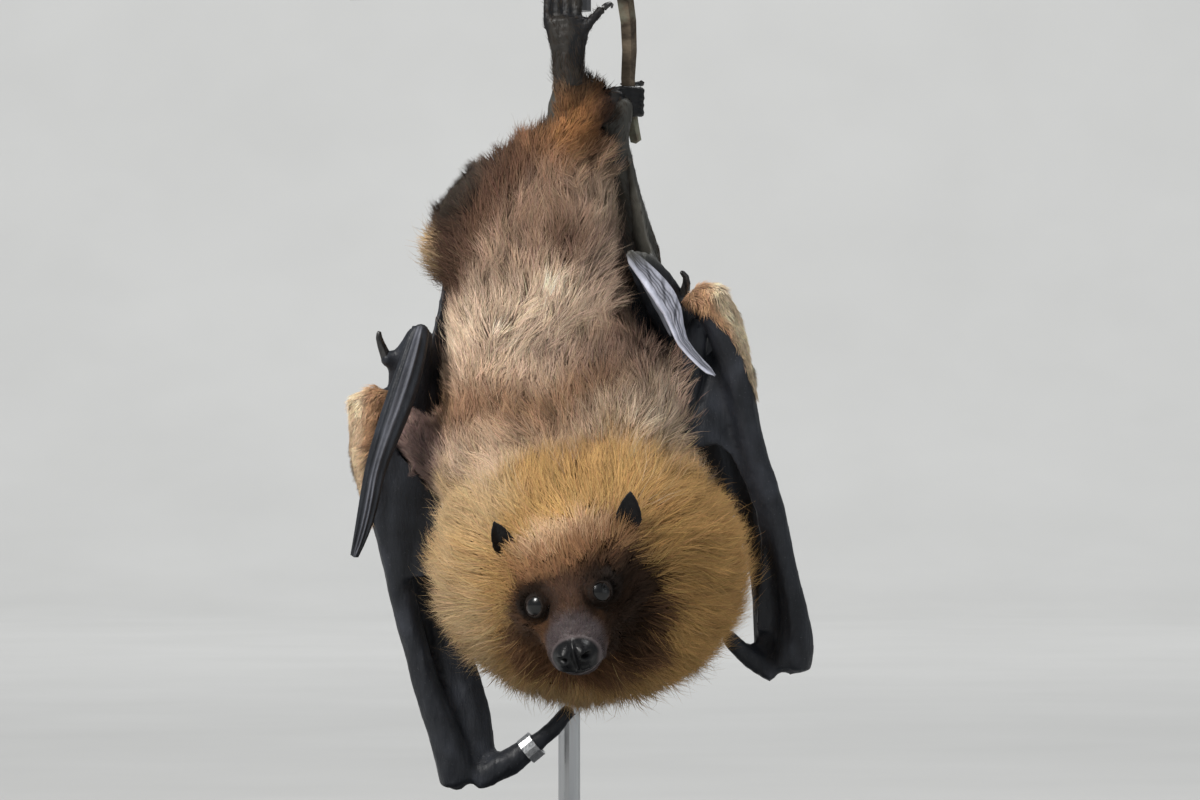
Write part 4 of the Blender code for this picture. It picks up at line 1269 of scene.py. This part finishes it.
def in_openings(points):
    """1 on the skin between the lids of an eye, which has no hair."""
    share = np.zeros(len(points))
    for name, centre in EYES.items():
        reach = points - centre
        angle = np.arccos(np.clip(unit(reach) @ lid_axis(name), -1, 1))
        near = np.linalg.norm(reach, axis=1) < EYE_RADIUS + 2
        share += near * (1 - ramp(angle, LID_OPENING[name] + 0.1, LID_OPENING[name] + 0.22))
    return share


def density_of_coat(points, weights):
    """Tufts on each square millimetre of skin."""
    along, _, crown = on_head(points)
    face, foot, leg = (group_share(weights, name) for name in ("face", "foot", "leg"))
    bare_nose = ramp(along - NOSE_ALONG, -2.6, -1.6) * ramp(crown - NOSE_CROWN, -8.5, -6.5)
    density = coat_value(points, weights, DENSITY)
    density = density * (1 - bare_nose * face) * (1 - 0.9 * mouth_line(points) * face)
    density = density * (1 - in_openings(points))
    density = density * (1 - bare_shoulder(points, weights)) + 8 * elbow_fur(points, weights)
    upright = points[:, 0] < middle("foot_right")[0] + 8
    density = density + foot * upright * (0.8 + 2.5 * ankle_share(points))
    density = density + leg * (0.4 + 5 * ramp(points[:, 1], 8, 13))
    leather = group_share(weights, "wing", "membrane", "ear")
    return density * (1 - bare_heel(points)) * (1 - np.clip(leather, 0, 1))


def lie_of_coat(points, weights, normals):
    """The direction along the body in which the hair's tips point."""
    x = points[:, :1]
    _, side, crown = on_head(points)
    radial = points - from_head(-14, 0, -5)
    radial = radial - (radial @ BACK)[:, None] * BACK
    outwards = side[:, None] * ACROSS + (crown + 3)[:, None] * CROWN
    flows = {
        "trunk": UP + BACK * 0.1 + RIGHT * (0.012 * (x + 8)),
        "ruff": unit(radial) + BACK * 0.55 + UP * 0.12,
        "face": -SNOUT + outwards * (0.05 + 0.05 * cheek_share(points))[:, None],
        "thigh": UP * 0.8 - RIGHT * 0.5 + BACK * 0.15,
        "shank": UP,
        "tail": UP * 0.75 + RIGHT * 0.5,
        "shoulder": UP + RIGHT * 0.7,
        "arm": UP - RIGHT * 0.5,
        "leg": UP,
        "forearm": -UP + RIGHT * (0.5 * np.sign(x)),
        "foot": UP,
    }
    flow = np.zeros((len(points), 3))
    for name, direction in flows.items():
        flow += unit(direction) * group_share(weights, name)[:, None]
    wander = np.stack([waves(points, 18, seed) for seed in (41, 42, 43)], axis=1)
    small = np.stack([waves(points, 5, seed) for seed in (44, 45, 46)], axis=1)
    calm = 1 - 0.6 * group_share(weights, "face") + 0.35 * group_share(weights, "trunk")
    flow = unit(flow) + (0.3 * wander + 0.27 * small) * calm[:, None]
    return unit(square_to(flow, normals))


# ---------------------------------------------------------------------------- the coat

# A hair's steps from root to tip: each one's share of the length, and how steeply it rises from the skin.
SHORT_STEPS = ((0.45, 1.45), (0.55, 0.6))
LONG_STEPS = ((0.3, 1.75), (0.34, 1.0), (0.36, 0.35))
RING_WIDTHS = (0.5, 0.38)
SMALL_LOCK, LARGE_LOCK = 26, 170  # hairs in a lock
WISP_SHARE, LONG_SHARE = 0.04, 0.12
# Each hair is painted darker at its root: painted shade where the hairs lie over each other.
ROOT_PAINTED_SHADE, TIP_GAIN = 0.62, 0.55  # how dark a hair is at its root, and how much lighter its tip gets
NORMAL_BLEND = 0.35  # how much of a hair's own normal joins the skin's
COAT_SEED = 5


def unwrapped(mesh):
    """Unwraps the skin by its own shape and gives the place of each triangle's corners."""
    piece = placed("unwrap", mesh)
    bpy.context.view_layer.objects.active = piece
    piece.select_set(True)
    bpy.ops.object.mode_set(mode="EDIT")
    bpy.ops.mesh.select_all(action="SELECT")
    bpy.ops.uv.smart_project(angle_limit=math.radians(66), island_margin=0.002)
    bpy.ops.object.mode_set(mode="OBJECT")
    corners = np.empty(len(mesh.loops) * 2, np.float32)
    mesh.uv_layers.active.data.foreach_get("uv", corners)
    bpy.data.objects.remove(piece)
    mesh.uv_layers.remove(mesh.uv_layers.active)
    return corners.reshape(-1, 3, 2)


def sown(points, faces, density, source):
    """Roots spread over the faces: face of each, and its weights between the face's corners."""
    area = np.linalg.norm(face_normals(points, faces), axis=1) / 2
    expected = area * density[faces].mean(axis=1)
    counts = np.floor(expected + source.random(len(faces))).astype(int)
    chosen = np.repeat(np.arange(len(faces)), counts)
    first, second = np.sqrt(source.random(len(chosen))), source.random(len(chosen))
    return chosen, np.stack([1 - first, first * (1 - second), first * second], axis=1)


def locks(points, spacing, source):
    """For each root, the place of its lock's middle and four numbers that the whole lock shares."""
    count = max(int(len(points) / spacing), 1)
    seeds = points[source.choice(len(points), count, replace=False)]
    index = nearest(seeds, points)
    return seeds[index], source.normal(size=(count, 4))[index]


def rooted_hair(points, faces, weights, normals, corners, source):
    """The hairs' roots, with each one's normal, lie, groups and place on the unwrapped skin."""
    lie = lie_of_coat(points, weights, normals)
    chosen, shares = sown(points, faces, density_of_coat(points, weights), source)

    def at_roots(values):
        return np.einsum("ij,ijk->ik", shares, values)

    normal = unit(at_roots(normals[faces[chosen]]))
    return {
        "root": at_roots(points[faces[chosen]]),
        "normal": normal,
        "lie": unit(square_to(at_roots(lie[faces[chosen]]), normal)),
        "group": at_roots(weights[faces[chosen]]),
        "place": at_roots(corners[chosen]),
    }


def set_sizes(hair, source):
    """Each hair's length, width and depth of coat. A few are wisps: long, thin and standing out."""
    root, group = hair["root"], hair["group"]
    face, elbow, foot, leg = (group_share(group, name) for name in ("face", "forearm", "foot", "leg"))
    length = coat_value(root, group, LENGTH) + elbow * 4 + (foot + leg) * (2.5 + 3 * ankle_share(root))
    depth = coat_value(root, group, DEPTH) + elbow * 0.8 + (foot + leg) * 0.4
    width = coat_value(root, group, WIDTH) + elbow * 0.19 + (foot + leg) * 0.13
    short, cheek = near_eyes(root) * face, cheek_share(root) * face
    length = length * (1 - 0.45 * near_ears(root)) * (1 - 0.7 * short)
    depth = depth * (1 - 0.5 * near_ears(root)) * (1 - 0.8 * short)
    count = len(root)
    length = (length + 4.5 * cheek) * source.uniform(0.65, 1.15, count)
    depth = (depth + 3.2 * cheek) * source.uniform(0.6, 1.25, count)
    width = width * source.uniform(0.7, 1.3, count)
    wisp = (source.random(count) < WISP_SHARE) & (length > 7) & (face < 0.3)
    hair["length"] = length * np.where(wisp, 1.3, 1)
    hair["depth"] = depth * np.where(wisp, 1.7, 1)
    hair["width"] = width * np.where(wisp, 0.5, 1)
    hair["long"] = wisp


def set_locks(hair, source):
    """Draws the hairs together in small and large locks, and colours them."""
    root, normal, group = hair["root"], hair["normal"], hair["group"]
    face = group_share(group, "face")
    small, small_lock = locks(root, SMALL_LOCK, source)
    large, large_lock = locks(root, LARGE_LOCK, source)
    hair["depth"] = hair["depth"] * np.exp(0.16 * small_lock[:, 1] + 0.1 * large_lock[:, 1])
    mid_hair = root + hair["lie"] * (hair["length"] * 0.5)[:, None] + normal * (hair["depth"] * 0.7)[:, None]
    contrast = 1 - 0.5 * face - 0.3 * group_share(group, "ruff")
    own_shade = 0.1 * source.normal(size=len(root))
    shade = np.exp(contrast * (own_shade + 0.16 * small_lock[:, 0] + 0.1 * large_lock[:, 0]))
    warm = 1 + 0.04 * source.normal(size=(len(root), 3))
    hair["colour"] = coat_colour(mid_hair, group) * shade[:, None] * warm
    own_bend = 0.14 * source.normal(size=len(root))
    hair["bend"] = own_bend + 0.2 * small_lock[:, 2] + 0.16 * large_lock[:, 2]
    reach = np.minimum(hair["length"] / 11, 1)[:, None]
    loose = (1 - 0.65 * face - 0.3 * (near_eyes(root) * face))[:, None]
    hair["pull"] = square_to(((small - root) * 0.62 + (large - root) * 0.22) * reach * loose, normal)
    hair["long"] = hair["long"] | (source.random(len(root)) < LONG_SHARE) & (hair["length"] > 8)


def picked(hair, index):
    return {key: values[index] for key, values in hair.items()}


def tuft_faces(rings):
    """The triangles of one hair: a root point, rings of three points and a tip."""
    faces = [(0, 2, 1), (0, 3, 2), (0, 1, 3)]
    for ring in range(1, rings):
        low, high = 3 * ring - 2, 3 * ring + 1
        for j in range(3):
            k = (j + 1) % 3
            faces += [(low + j, high + k, high + j), (low + j, low + k, high + k)]
    last, tip = 3 * rings - 2, 3 * rings + 1
    return np.array(faces + [(last, last + 1, tip), (last + 1, last + 2, tip), (last + 2, last, tip)])


def tufts(hair, steps):
    """Closed three-sided hairs: their points and faces, and how far up its hair each point lies."""
    normal, lie = hair["normal"], hair["lie"]
    side = np.cross(lie, normal)
    rise = np.arcsin(np.clip(hair["depth"] / hair["length"], 0.02, 0.95))
    rings = len(steps) - 1
    centre = hair["root"] - normal * 0.35 * hair["width"][:, None] * 2
    columns, reached, up_to = [centre], [0.0], 0
    for step, (share, steepness) in enumerate(steps):
        angle = (rise * steepness)[:, None]
        direction = lie * np.cos(angle) + normal * np.sin(angle)
        direction = unit(direction + side * (hair["bend"] * (step + 0.5) / rings)[:, None])
        centre = centre + direction * (hair["length"] * share)[:, None]
        centre = centre + hair["pull"] * (share * (0.5 + 0.5 * step))
        if step == rings:
            break
        half = (hair["width"] * RING_WIDTHS[step])[:, None]
        columns += [centre + side * half, centre - side * half, centre + normal * half * 0.8]
        up_to += share
        reached += [up_to] * 3
    points = np.stack(columns + [centre], axis=1)
    offset = np.arange(len(points)) * points.shape[1]
    faces = (tuft_faces(rings)[None] + offset[:, None, None]).reshape(-1, 3)
    return points.reshape(-1, 3), faces, np.array(reached + [1.0])


def set_attribute(mesh, name, kind, values):
    layer = mesh.attributes.new(name, kind, "POINT")
    key = {"FLOAT_COLOR": "color", "FLOAT_VECTOR": "vector", "FLOAT": "value"}[kind]
    layer.data.foreach_set(key, np.asarray(values, np.float32).reshape(-1))


def set_tone(mesh, colour):
    opaque = np.concatenate([np.clip(colour, 0, 1), np.ones((len(colour), 1))], axis=1)
    set_attribute(mesh, "tone", "FLOAT_COLOR", opaque)


def fur_piece(name, hair, finish):
    """One piece of the coat, which takes each hair's finish from its root's place on the skin."""
    shapes, tones, uvs, smooth = [], [], [], []
    for long_hair, steps in ((True, LONG_STEPS), (False, SHORT_STEPS)):
        some = picked(hair, hair["long"] == long_hair)
        count = len(some["root"])
        if not count:
            continue
        points, faces, up_hair = tufts(some, steps)
        shapes.append((points, faces))
        # Painted shade: each hair darker at its root and lighter towards its tip.
        gradient = ROOT_PAINTED_SHADE + TIP_GAIN * up_hair
        tones.append((some["colour"][:, None, :] * gradient[None, :, None]).reshape(-1, 3))
        patch = np.tile([(0, 0), (UV_PATCH, 0), (0, UV_PATCH)], (len(faces), 1)).reshape(-1, 3, 2)
        places = np.repeat(some["place"], len(faces) // count, axis=0)
        uvs.append(patch + places[:, None, :] - UV_PATCH / 3)
        smooth.append(np.repeat(some["normal"], len(up_hair), axis=0))
    points, faces = several(shapes)
    mesh = made_mesh(name, points, faces)
    set_tone(mesh, np.concatenate(tones))
    own = vertex_normals(points, faces)
    set_attribute(mesh, "custom_normal", "FLOAT_VECTOR", unit(NORMAL_BLEND * own + np.concatenate(smooth)))
    layer = mesh.uv_layers.new(name="OFBake")
    layer.data.foreach_set("uv", np.concatenate(uvs).astype(np.float32).reshape(-1))
    return made_object(name, mesh, finish)


def grow_coat(points, faces, weights, normals, corners, finish):
    """Tufts over the whole coated skin, as (kind, piece) pairs. Each piece stays under LONGEST_PIECE."""
    source = np.random.default_rng(COAT_SEED)
    hair = rooted_hair(points, faces, weights, normals, corners, source)
    set_sizes(hair, source)
    set_locks(hair, source)
    ruff, face = group_share(hair["group"], "ruff") > 0.5, group_share(hair["group"], "face") > 0.5
    limbs = ~ruff & ~face & (group_share(hair["group"], "trunk") < 0.5)
    kinds = {"ruff": ruff, "face": face, "limbs": limbs, "back": ~(ruff | face | limbs)}
    for kind, members in kinds.items():
        indices = np.flatnonzero(members)
        indices = indices[np.argsort(hair["root"][indices, 2])]
        cost = np.cumsum(np.where(hair["long"][indices], LONG_HAIR, SHORT_HAIR))
        parts = int(math.ceil(cost[-1] / LONGEST_PIECE))
        for part in range(parts):
            low, high = cost[-1] * part / parts, cost[-1] * (part + 1) / parts
            mine = picked(hair, indices[(cost > low) & (cost <= high)])
            yield kind, fur_piece(f"fur_{kind}_{part + 1}", mine, finish)
    print(f"coat: {len(hair['root'])} tufts")


# ---------------------------------------------------------------------------- materials


class Finish:
    """A material being made from nodes."""

    def __init__(self, name, **settings):
        self.material = bpy.data.materials.new(name)
        self.material.use_nodes = True
        self.tree = self.material.node_tree
        self.shader = self.tree.nodes["Principled BSDF"]
        self.done(**settings)

    def set(self, node, key, value):
        if isinstance(value, bpy.types.NodeSocket):
            self.tree.links.new(value, node.inputs[key])
        else:
            node.inputs[key].default_value = value

    def add(self, kind, inputs, **options):
        node = self.tree.nodes.new(kind)
        for key, value in options.items():
            setattr(node, key, value)
        for key, value in inputs.items():
            self.set(node, key, value)
        return node

    def attribute(self, name, output="Fac"):
        return self.add("ShaderNodeAttribute", {}, attribute_name=name).outputs[output]

    def noise(self, scale, detail=4.0, stretch=(1, 1, 1)):
        place = self.add("ShaderNodeTexCoord", {}).outputs["Object"]
        place = self.add("ShaderNodeMapping", {"Vector": place, "Scale": stretch}).outputs[0]
        inputs = {"Vector": place, "Scale": scale, "Detail": detail, "Roughness": 0.55}
        return self.add("ShaderNodeTexNoise", inputs).outputs["Fac"]

    def range(self, value, low, high, to_low=0.0, to_high=1.0):
        inputs = {"Value": value, "From Min": low, "From Max": high, "To Min": to_low, "To Max": to_high}
        return self.add("ShaderNodeMapRange", inputs).outputs["Result"]

    def result(self, operation, first, second):
        return self.add("ShaderNodeMath", {0: first, 1: second}, operation=operation).outputs[0]

    def mix(self, share, first, second, blend="MIX"):
        inputs = {0: share, 6: first, 7: second}
        return self.add("ShaderNodeMix", inputs, data_type="RGBA", blend_type=blend).outputs[2]

    def two_tone(self, field, first, second, low=0.3, high=0.7):
        """A colour that goes from the first to the second as the field goes from low to high."""
        return self.mix(self.range(field, low, high), (*first, 1), (*second, 1))

    def mottled(self, colour, field):
        """A colour made darker and lighter by a field of numbers."""
        grey = self.add("ShaderNodeCombineColor", {0: field, 1: field, 2: field}).outputs[0]
        return self.mix(1.0, colour, grey, "MULTIPLY")

    def bump(self, height, strength, distance, **before):
        inputs = {"Height": height, "Strength": strength, "Distance": distance, **before}
        return self.add("ShaderNodeBump", inputs).outputs["Normal"]

    def grained(self, field, roughness, strength, distance=0.0001):
        """The roughness and the relief that one grain gives."""
        return {
            "Roughness": self.range(field, 0.3, 0.7, *roughness),
            "Normal": self.bump(field, strength, distance),
        }

    def done(self, **sockets):
        for key, value in sockets.items():
            self.set(self.shader, key.replace("_", " "), value)
        return self.material


def fur_finish():
    made = Finish("fur", Roughness=0.65, Specular_IOR_Level=0.07, Sheen_Weight=0.012, Sheen_Roughness=0.5)
    streak = made.range(made.noise(900, 2), 0.3, 0.7, 0.85, 1.12)
    return made.done(Base_Color=made.mottled(made.attribute("tone", "Color"), streak))


def skin_finish():
    """Dry leather and skin with wrinkles, smooth and glossy where the skin is wet."""
    made = Finish("bat_skin", Specular_IOR_Level=0.3)
    bare, wet = made.attribute("bare"), made.attribute("wet")
    fine = made.noise(1500, 5)
    wrinkle = made.noise(420, 5, (1.6, 1.6, 0.45))
    speck = made.result("MULTIPLY", made.range(made.noise(2600, 2), 0.68, 0.76), bare)
    cloudy = made.range(made.noise(160, 4), 0.3, 0.7, 0.75, 1.3)
    colour = made.mottled(made.attribute("tone", "Color"), cloudy)
    colour = made.mix(made.range(speck, 0, 1, 0, 0.35), colour, (0.25, 0.26, 0.28, 1))
    dry_rough = made.range(wrinkle, 0.3, 0.7, 0.36, 0.6)
    rough = made.result("SUBTRACT", dry_rough, made.result("MULTIPLY", wet, 0.12))
    wrinkle_height = made.result("MULTIPLY", wrinkle, made.result("SUBTRACT", 1.0, wet))
    normal = made.bump(wrinkle_height, 0.6, 0.0006, Normal=made.bump(fine, 0.35, 0.0002))
    return made.done(Base_Color=colour, Roughness=rough, Normal=normal)


def eye_finish():
    made = Finish("eye", Roughness=0.26, IOR=1.4, Coat_Weight=0.3, Coat_Roughness=0.05)
    iris = made.two_tone(made.noise(700, 3), (0.012, 0.007, 0.005), (0.032, 0.017, 0.011))
    return made.done(Base_Color=made.mix(made.attribute("pupil"), iris, (0.003, 0.003, 0.003, 1)))


def claw_finish():
    made = Finish("claw", Specular_IOR_Level=0.6)
    grain = made.noise(900, 4, (1, 1, 0.3))
    colour = made.two_tone(grain, (0.006, 0.006, 0.006), (0.03, 0.028, 0.027), 0.35)
    return made.done(Base_Color=colour, **made.grained(grain, (0.16, 0.38), 0.25, 0.0002))


def band_finish():
    made = Finish("band_metal", Metallic=1.0)
    scratch = made.noise(1400, 4, (1, 3, 1))
    colour = made.two_tone(scratch, (0.42, 0.43, 0.44), (0.68, 0.69, 0.7), 0.35)
    return made.done(Base_Color=colour, **made.grained(scratch, (0.28, 0.5), 0.2))


def bark_finish():
    made = Finish("bark")
    ridge = made.noise(150, 6, (0.35, 1.6, 1.6))
    lichen = made.range(made.noise(60, 5), 0.56, 0.66)
    colour = made.two_tone(ridge, (0.035, 0.024, 0.016), (0.2, 0.15, 0.1))
    colour = made.mix(made.range(lichen, 0, 1, 0, 0.55), colour, (0.3, 0.33, 0.25, 1))
    return made.done(Base_Color=colour, **made.grained(ridge, (0.95, 0.75), 0.8, 0.0012))


def painted_finish():
    made = Finish("stand_paint", Coat_Weight=0.15)
    colour = made.two_tone(made.noise(25, 4), (0.045, 0.046, 0.05), (0.065, 0.066, 0.07))
    return made.done(Base_Color=colour, **made.grained(made.noise(1800, 3), (0.38, 0.52), 0.15))


def steel_finish():
    made = Finish("stand_steel", Metallic=1.0)
    brushed = made.noise(600, 4, (1, 1, 0.03))
    colour = made.two_tone(brushed, (0.48, 0.49, 0.5), (0.66, 0.67, 0.68))
    return made.done(Base_Color=colour, **made.grained(brushed, (0.22, 0.42), 0.15))


def floor_finish():
    made = Finish("floor", Roughness=0.85)
    return made.done(Base_Color=made.two_tone(made.noise(6, 3), (0.5, 0.5, 0.49), (0.53, 0.53, 0.52)))


# ---------------------------------------------------------------------------- the pieces

PAIRED = ("forearm", "hand", "wing_tip", "thumb", "arm_membrane", "side_membrane", "ear", "foot")
PUPIL_EDGE = (0.62, 0.7)  # angles from the eye's axis
PICTURE_WIDTH, CAMERA_DISTANCE = 0.366, 2.0  # metres


def make_skin():
    points, faces, weights = joined_skin()
    normals = vertex_normals(points, faces)
    mesh = made_mesh("bat_skin", points, faces)
    corners = unwrapped(mesh)
    set_tone(mesh, skin_colour(points, weights, coat_colour(points, weights)))
    set_attribute(mesh, "bare", "FLOAT", group_share(weights, *LEATHERY))
    wet = np.maximum(nose_pad(points), left_toes(points, weights)) - 2.5 * lids(points)
    set_attribute(mesh, "wet", "FLOAT", wet)
    skin = made_object("bat_skin", mesh, skin_finish())
    print(f"skin: {len(points)} points, {len(faces)} triangles")
    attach(skin, "root")
    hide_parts(*FLESH, *(f"{part}_{side}" for side in SIDES for part in PAIRED))
    for kind, piece in grow_coat(points, faces, weights, normals, corners, fur_finish()):
        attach(piece, "root")


def make_eyes():
    finish = eye_finish()
    for name, centre in EYES.items():
        bm = bmesh.new()
        bmesh.ops.create_icosphere(bm, subdivisions=5, radius=EYE_RADIUS * MM)
        bmesh.ops.translate(bm, vec=Vector(centre * MM), verts=bm.verts)
        mesh = bpy.data.meshes.new(f"eyeball_{name}")
        bm.to_mesh(mesh)
        bm.free()
        mesh.shade_smooth()
        look = unit(lid_axis(name) - BACK * 0.9)
        angle = np.arccos(np.clip(unit(points_of(mesh) - centre) @ look, -1, 1))
        set_attribute(mesh, "pupil", "FLOAT", 1 - ramp(angle, *PUPIL_EDGE))
        eye = made_object(f"eyeball_{name}", mesh, finish)
        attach(eye, "root")
        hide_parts(f"eye_{name}")


def make_claws():
    finish = claw_finish()
    names = [f"claw_{side}_{number}" for side in SIDES for number in range(1, 6)]
    names += [f"{kind}_claw_{side}" for kind in ("thumb", "index") for side in SIDES]
    for name in names:
        points, quads = refined(name, VOXEL["claw"], 3, swell=0.5 if name.startswith("index") else 0.05)
        claw = made_object(f"horn_{name}", made_mesh(name, points, quads), finish)
        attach(claw, "root")
        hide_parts(name)


def dress_stand():
    paint, steel, bark = painted_finish(), steel_finish(), bark_finish()
    finishes = {
        "stand_base": paint, "stand_hub": paint, "stand_post": steel, "stand_arm": steel,
        "perch": bark, "perch_twig": bark, "thumb_band": band_finish(),
    }
    for name, finish in finishes.items():
        materials = bpy.data.objects[name].data.materials
        materials.clear()
        materials.append(finish)


def make_stage():
    """A floor that curves up behind into a plain backdrop."""
    width, front, wall, bend, top = 9.0, -4.5, 3.9, 0.9, 3.2
    profile = [(front, 0), (wall - bend, 0)]
    for step in range(1, 13):
        angle = math.pi / 2 * step / 12
        profile.append((wall - bend + bend * math.sin(angle), bend - bend * math.cos(angle)))
    profile.append((wall, top))
    mesh = bpy.data.meshes.new("floor")
    points = [(x, y, z) for y, z in profile for x in (-width / 2, width / 2)]
    faces = [(2 * i, 2 * i + 1, 2 * i + 3, 2 * i + 2) for i in range(len(profile) - 1)]
    mesh.from_pydata(points, [], faces)
    mesh.shade_smooth()
    made_object("floor", mesh, floor_finish())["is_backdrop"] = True


def make_light(name, place, target, size, power, colour=(1, 1, 1)):
    lamp = bpy.data.lights.new(name, "AREA")
    lamp.shape = "RECTANGLE"
    lamp.size, lamp.size_y = size
    lamp.energy = power
    lamp.color = colour
    piece = placed(name, lamp)
    piece.location = place
    piece.rotation_euler = (Vector(target) - Vector(place)).to_track_quat("-Z", "Y").to_euler()


def make_lights():
    low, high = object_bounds()
    target = (low + high) / 2
    make_light("key", (-1.0, -1.0, 1.25), target, (0.4, 0.4), 30, (1, 0.98, 0.95))
    make_light("fill", (1.3, -1.1, 0.35), target, (1.2, 1.2), 2.5, (0.95, 0.98, 1))
    make_light("back", (0.5, 0.35, 1.3), target, (0.8, 0.5), 8)
    make_light("backdrop", (0, 1.9, 2.4), (0, 3.9, 0.7), (3, 1), 70)
    world = bpy.data.worlds.new("studio")
    world.use_nodes = True
    background = world.node_tree.nodes["Background"]
    background.inputs["Color"].default_value = (0.9, 0.95, 1, 1)
    background.inputs["Strength"].default_value = 0.3
    bpy.context.scene.world = world


def make_camera():
    """Level with the animal's shoulders, and far enough away for the picture's flat view."""
    lens = bpy.data.cameras.new("camera")
    lens.sensor_width = 36
    lens.lens = lens.sensor_width * CAMERA_DISTANCE / PICTURE_WIDTH
    lens.clip_start, lens.clip_end = 0.05, 20
    camera = placed("camera", lens)
    camera.location = (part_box("trunk")[0].x + 0.0497, -CAMERA_DISTANCE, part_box("perch")[1].z - 0.1372)
    camera.rotation_euler = (math.pi / 2, 0, 0)
    bpy.context.scene.camera = camera


make_skin()
make_eyes()
make_claws()
dress_stand()
make_stage()
make_lights()
make_camera()
bpy.context.scene.view_settings.view_transform = "Standard"
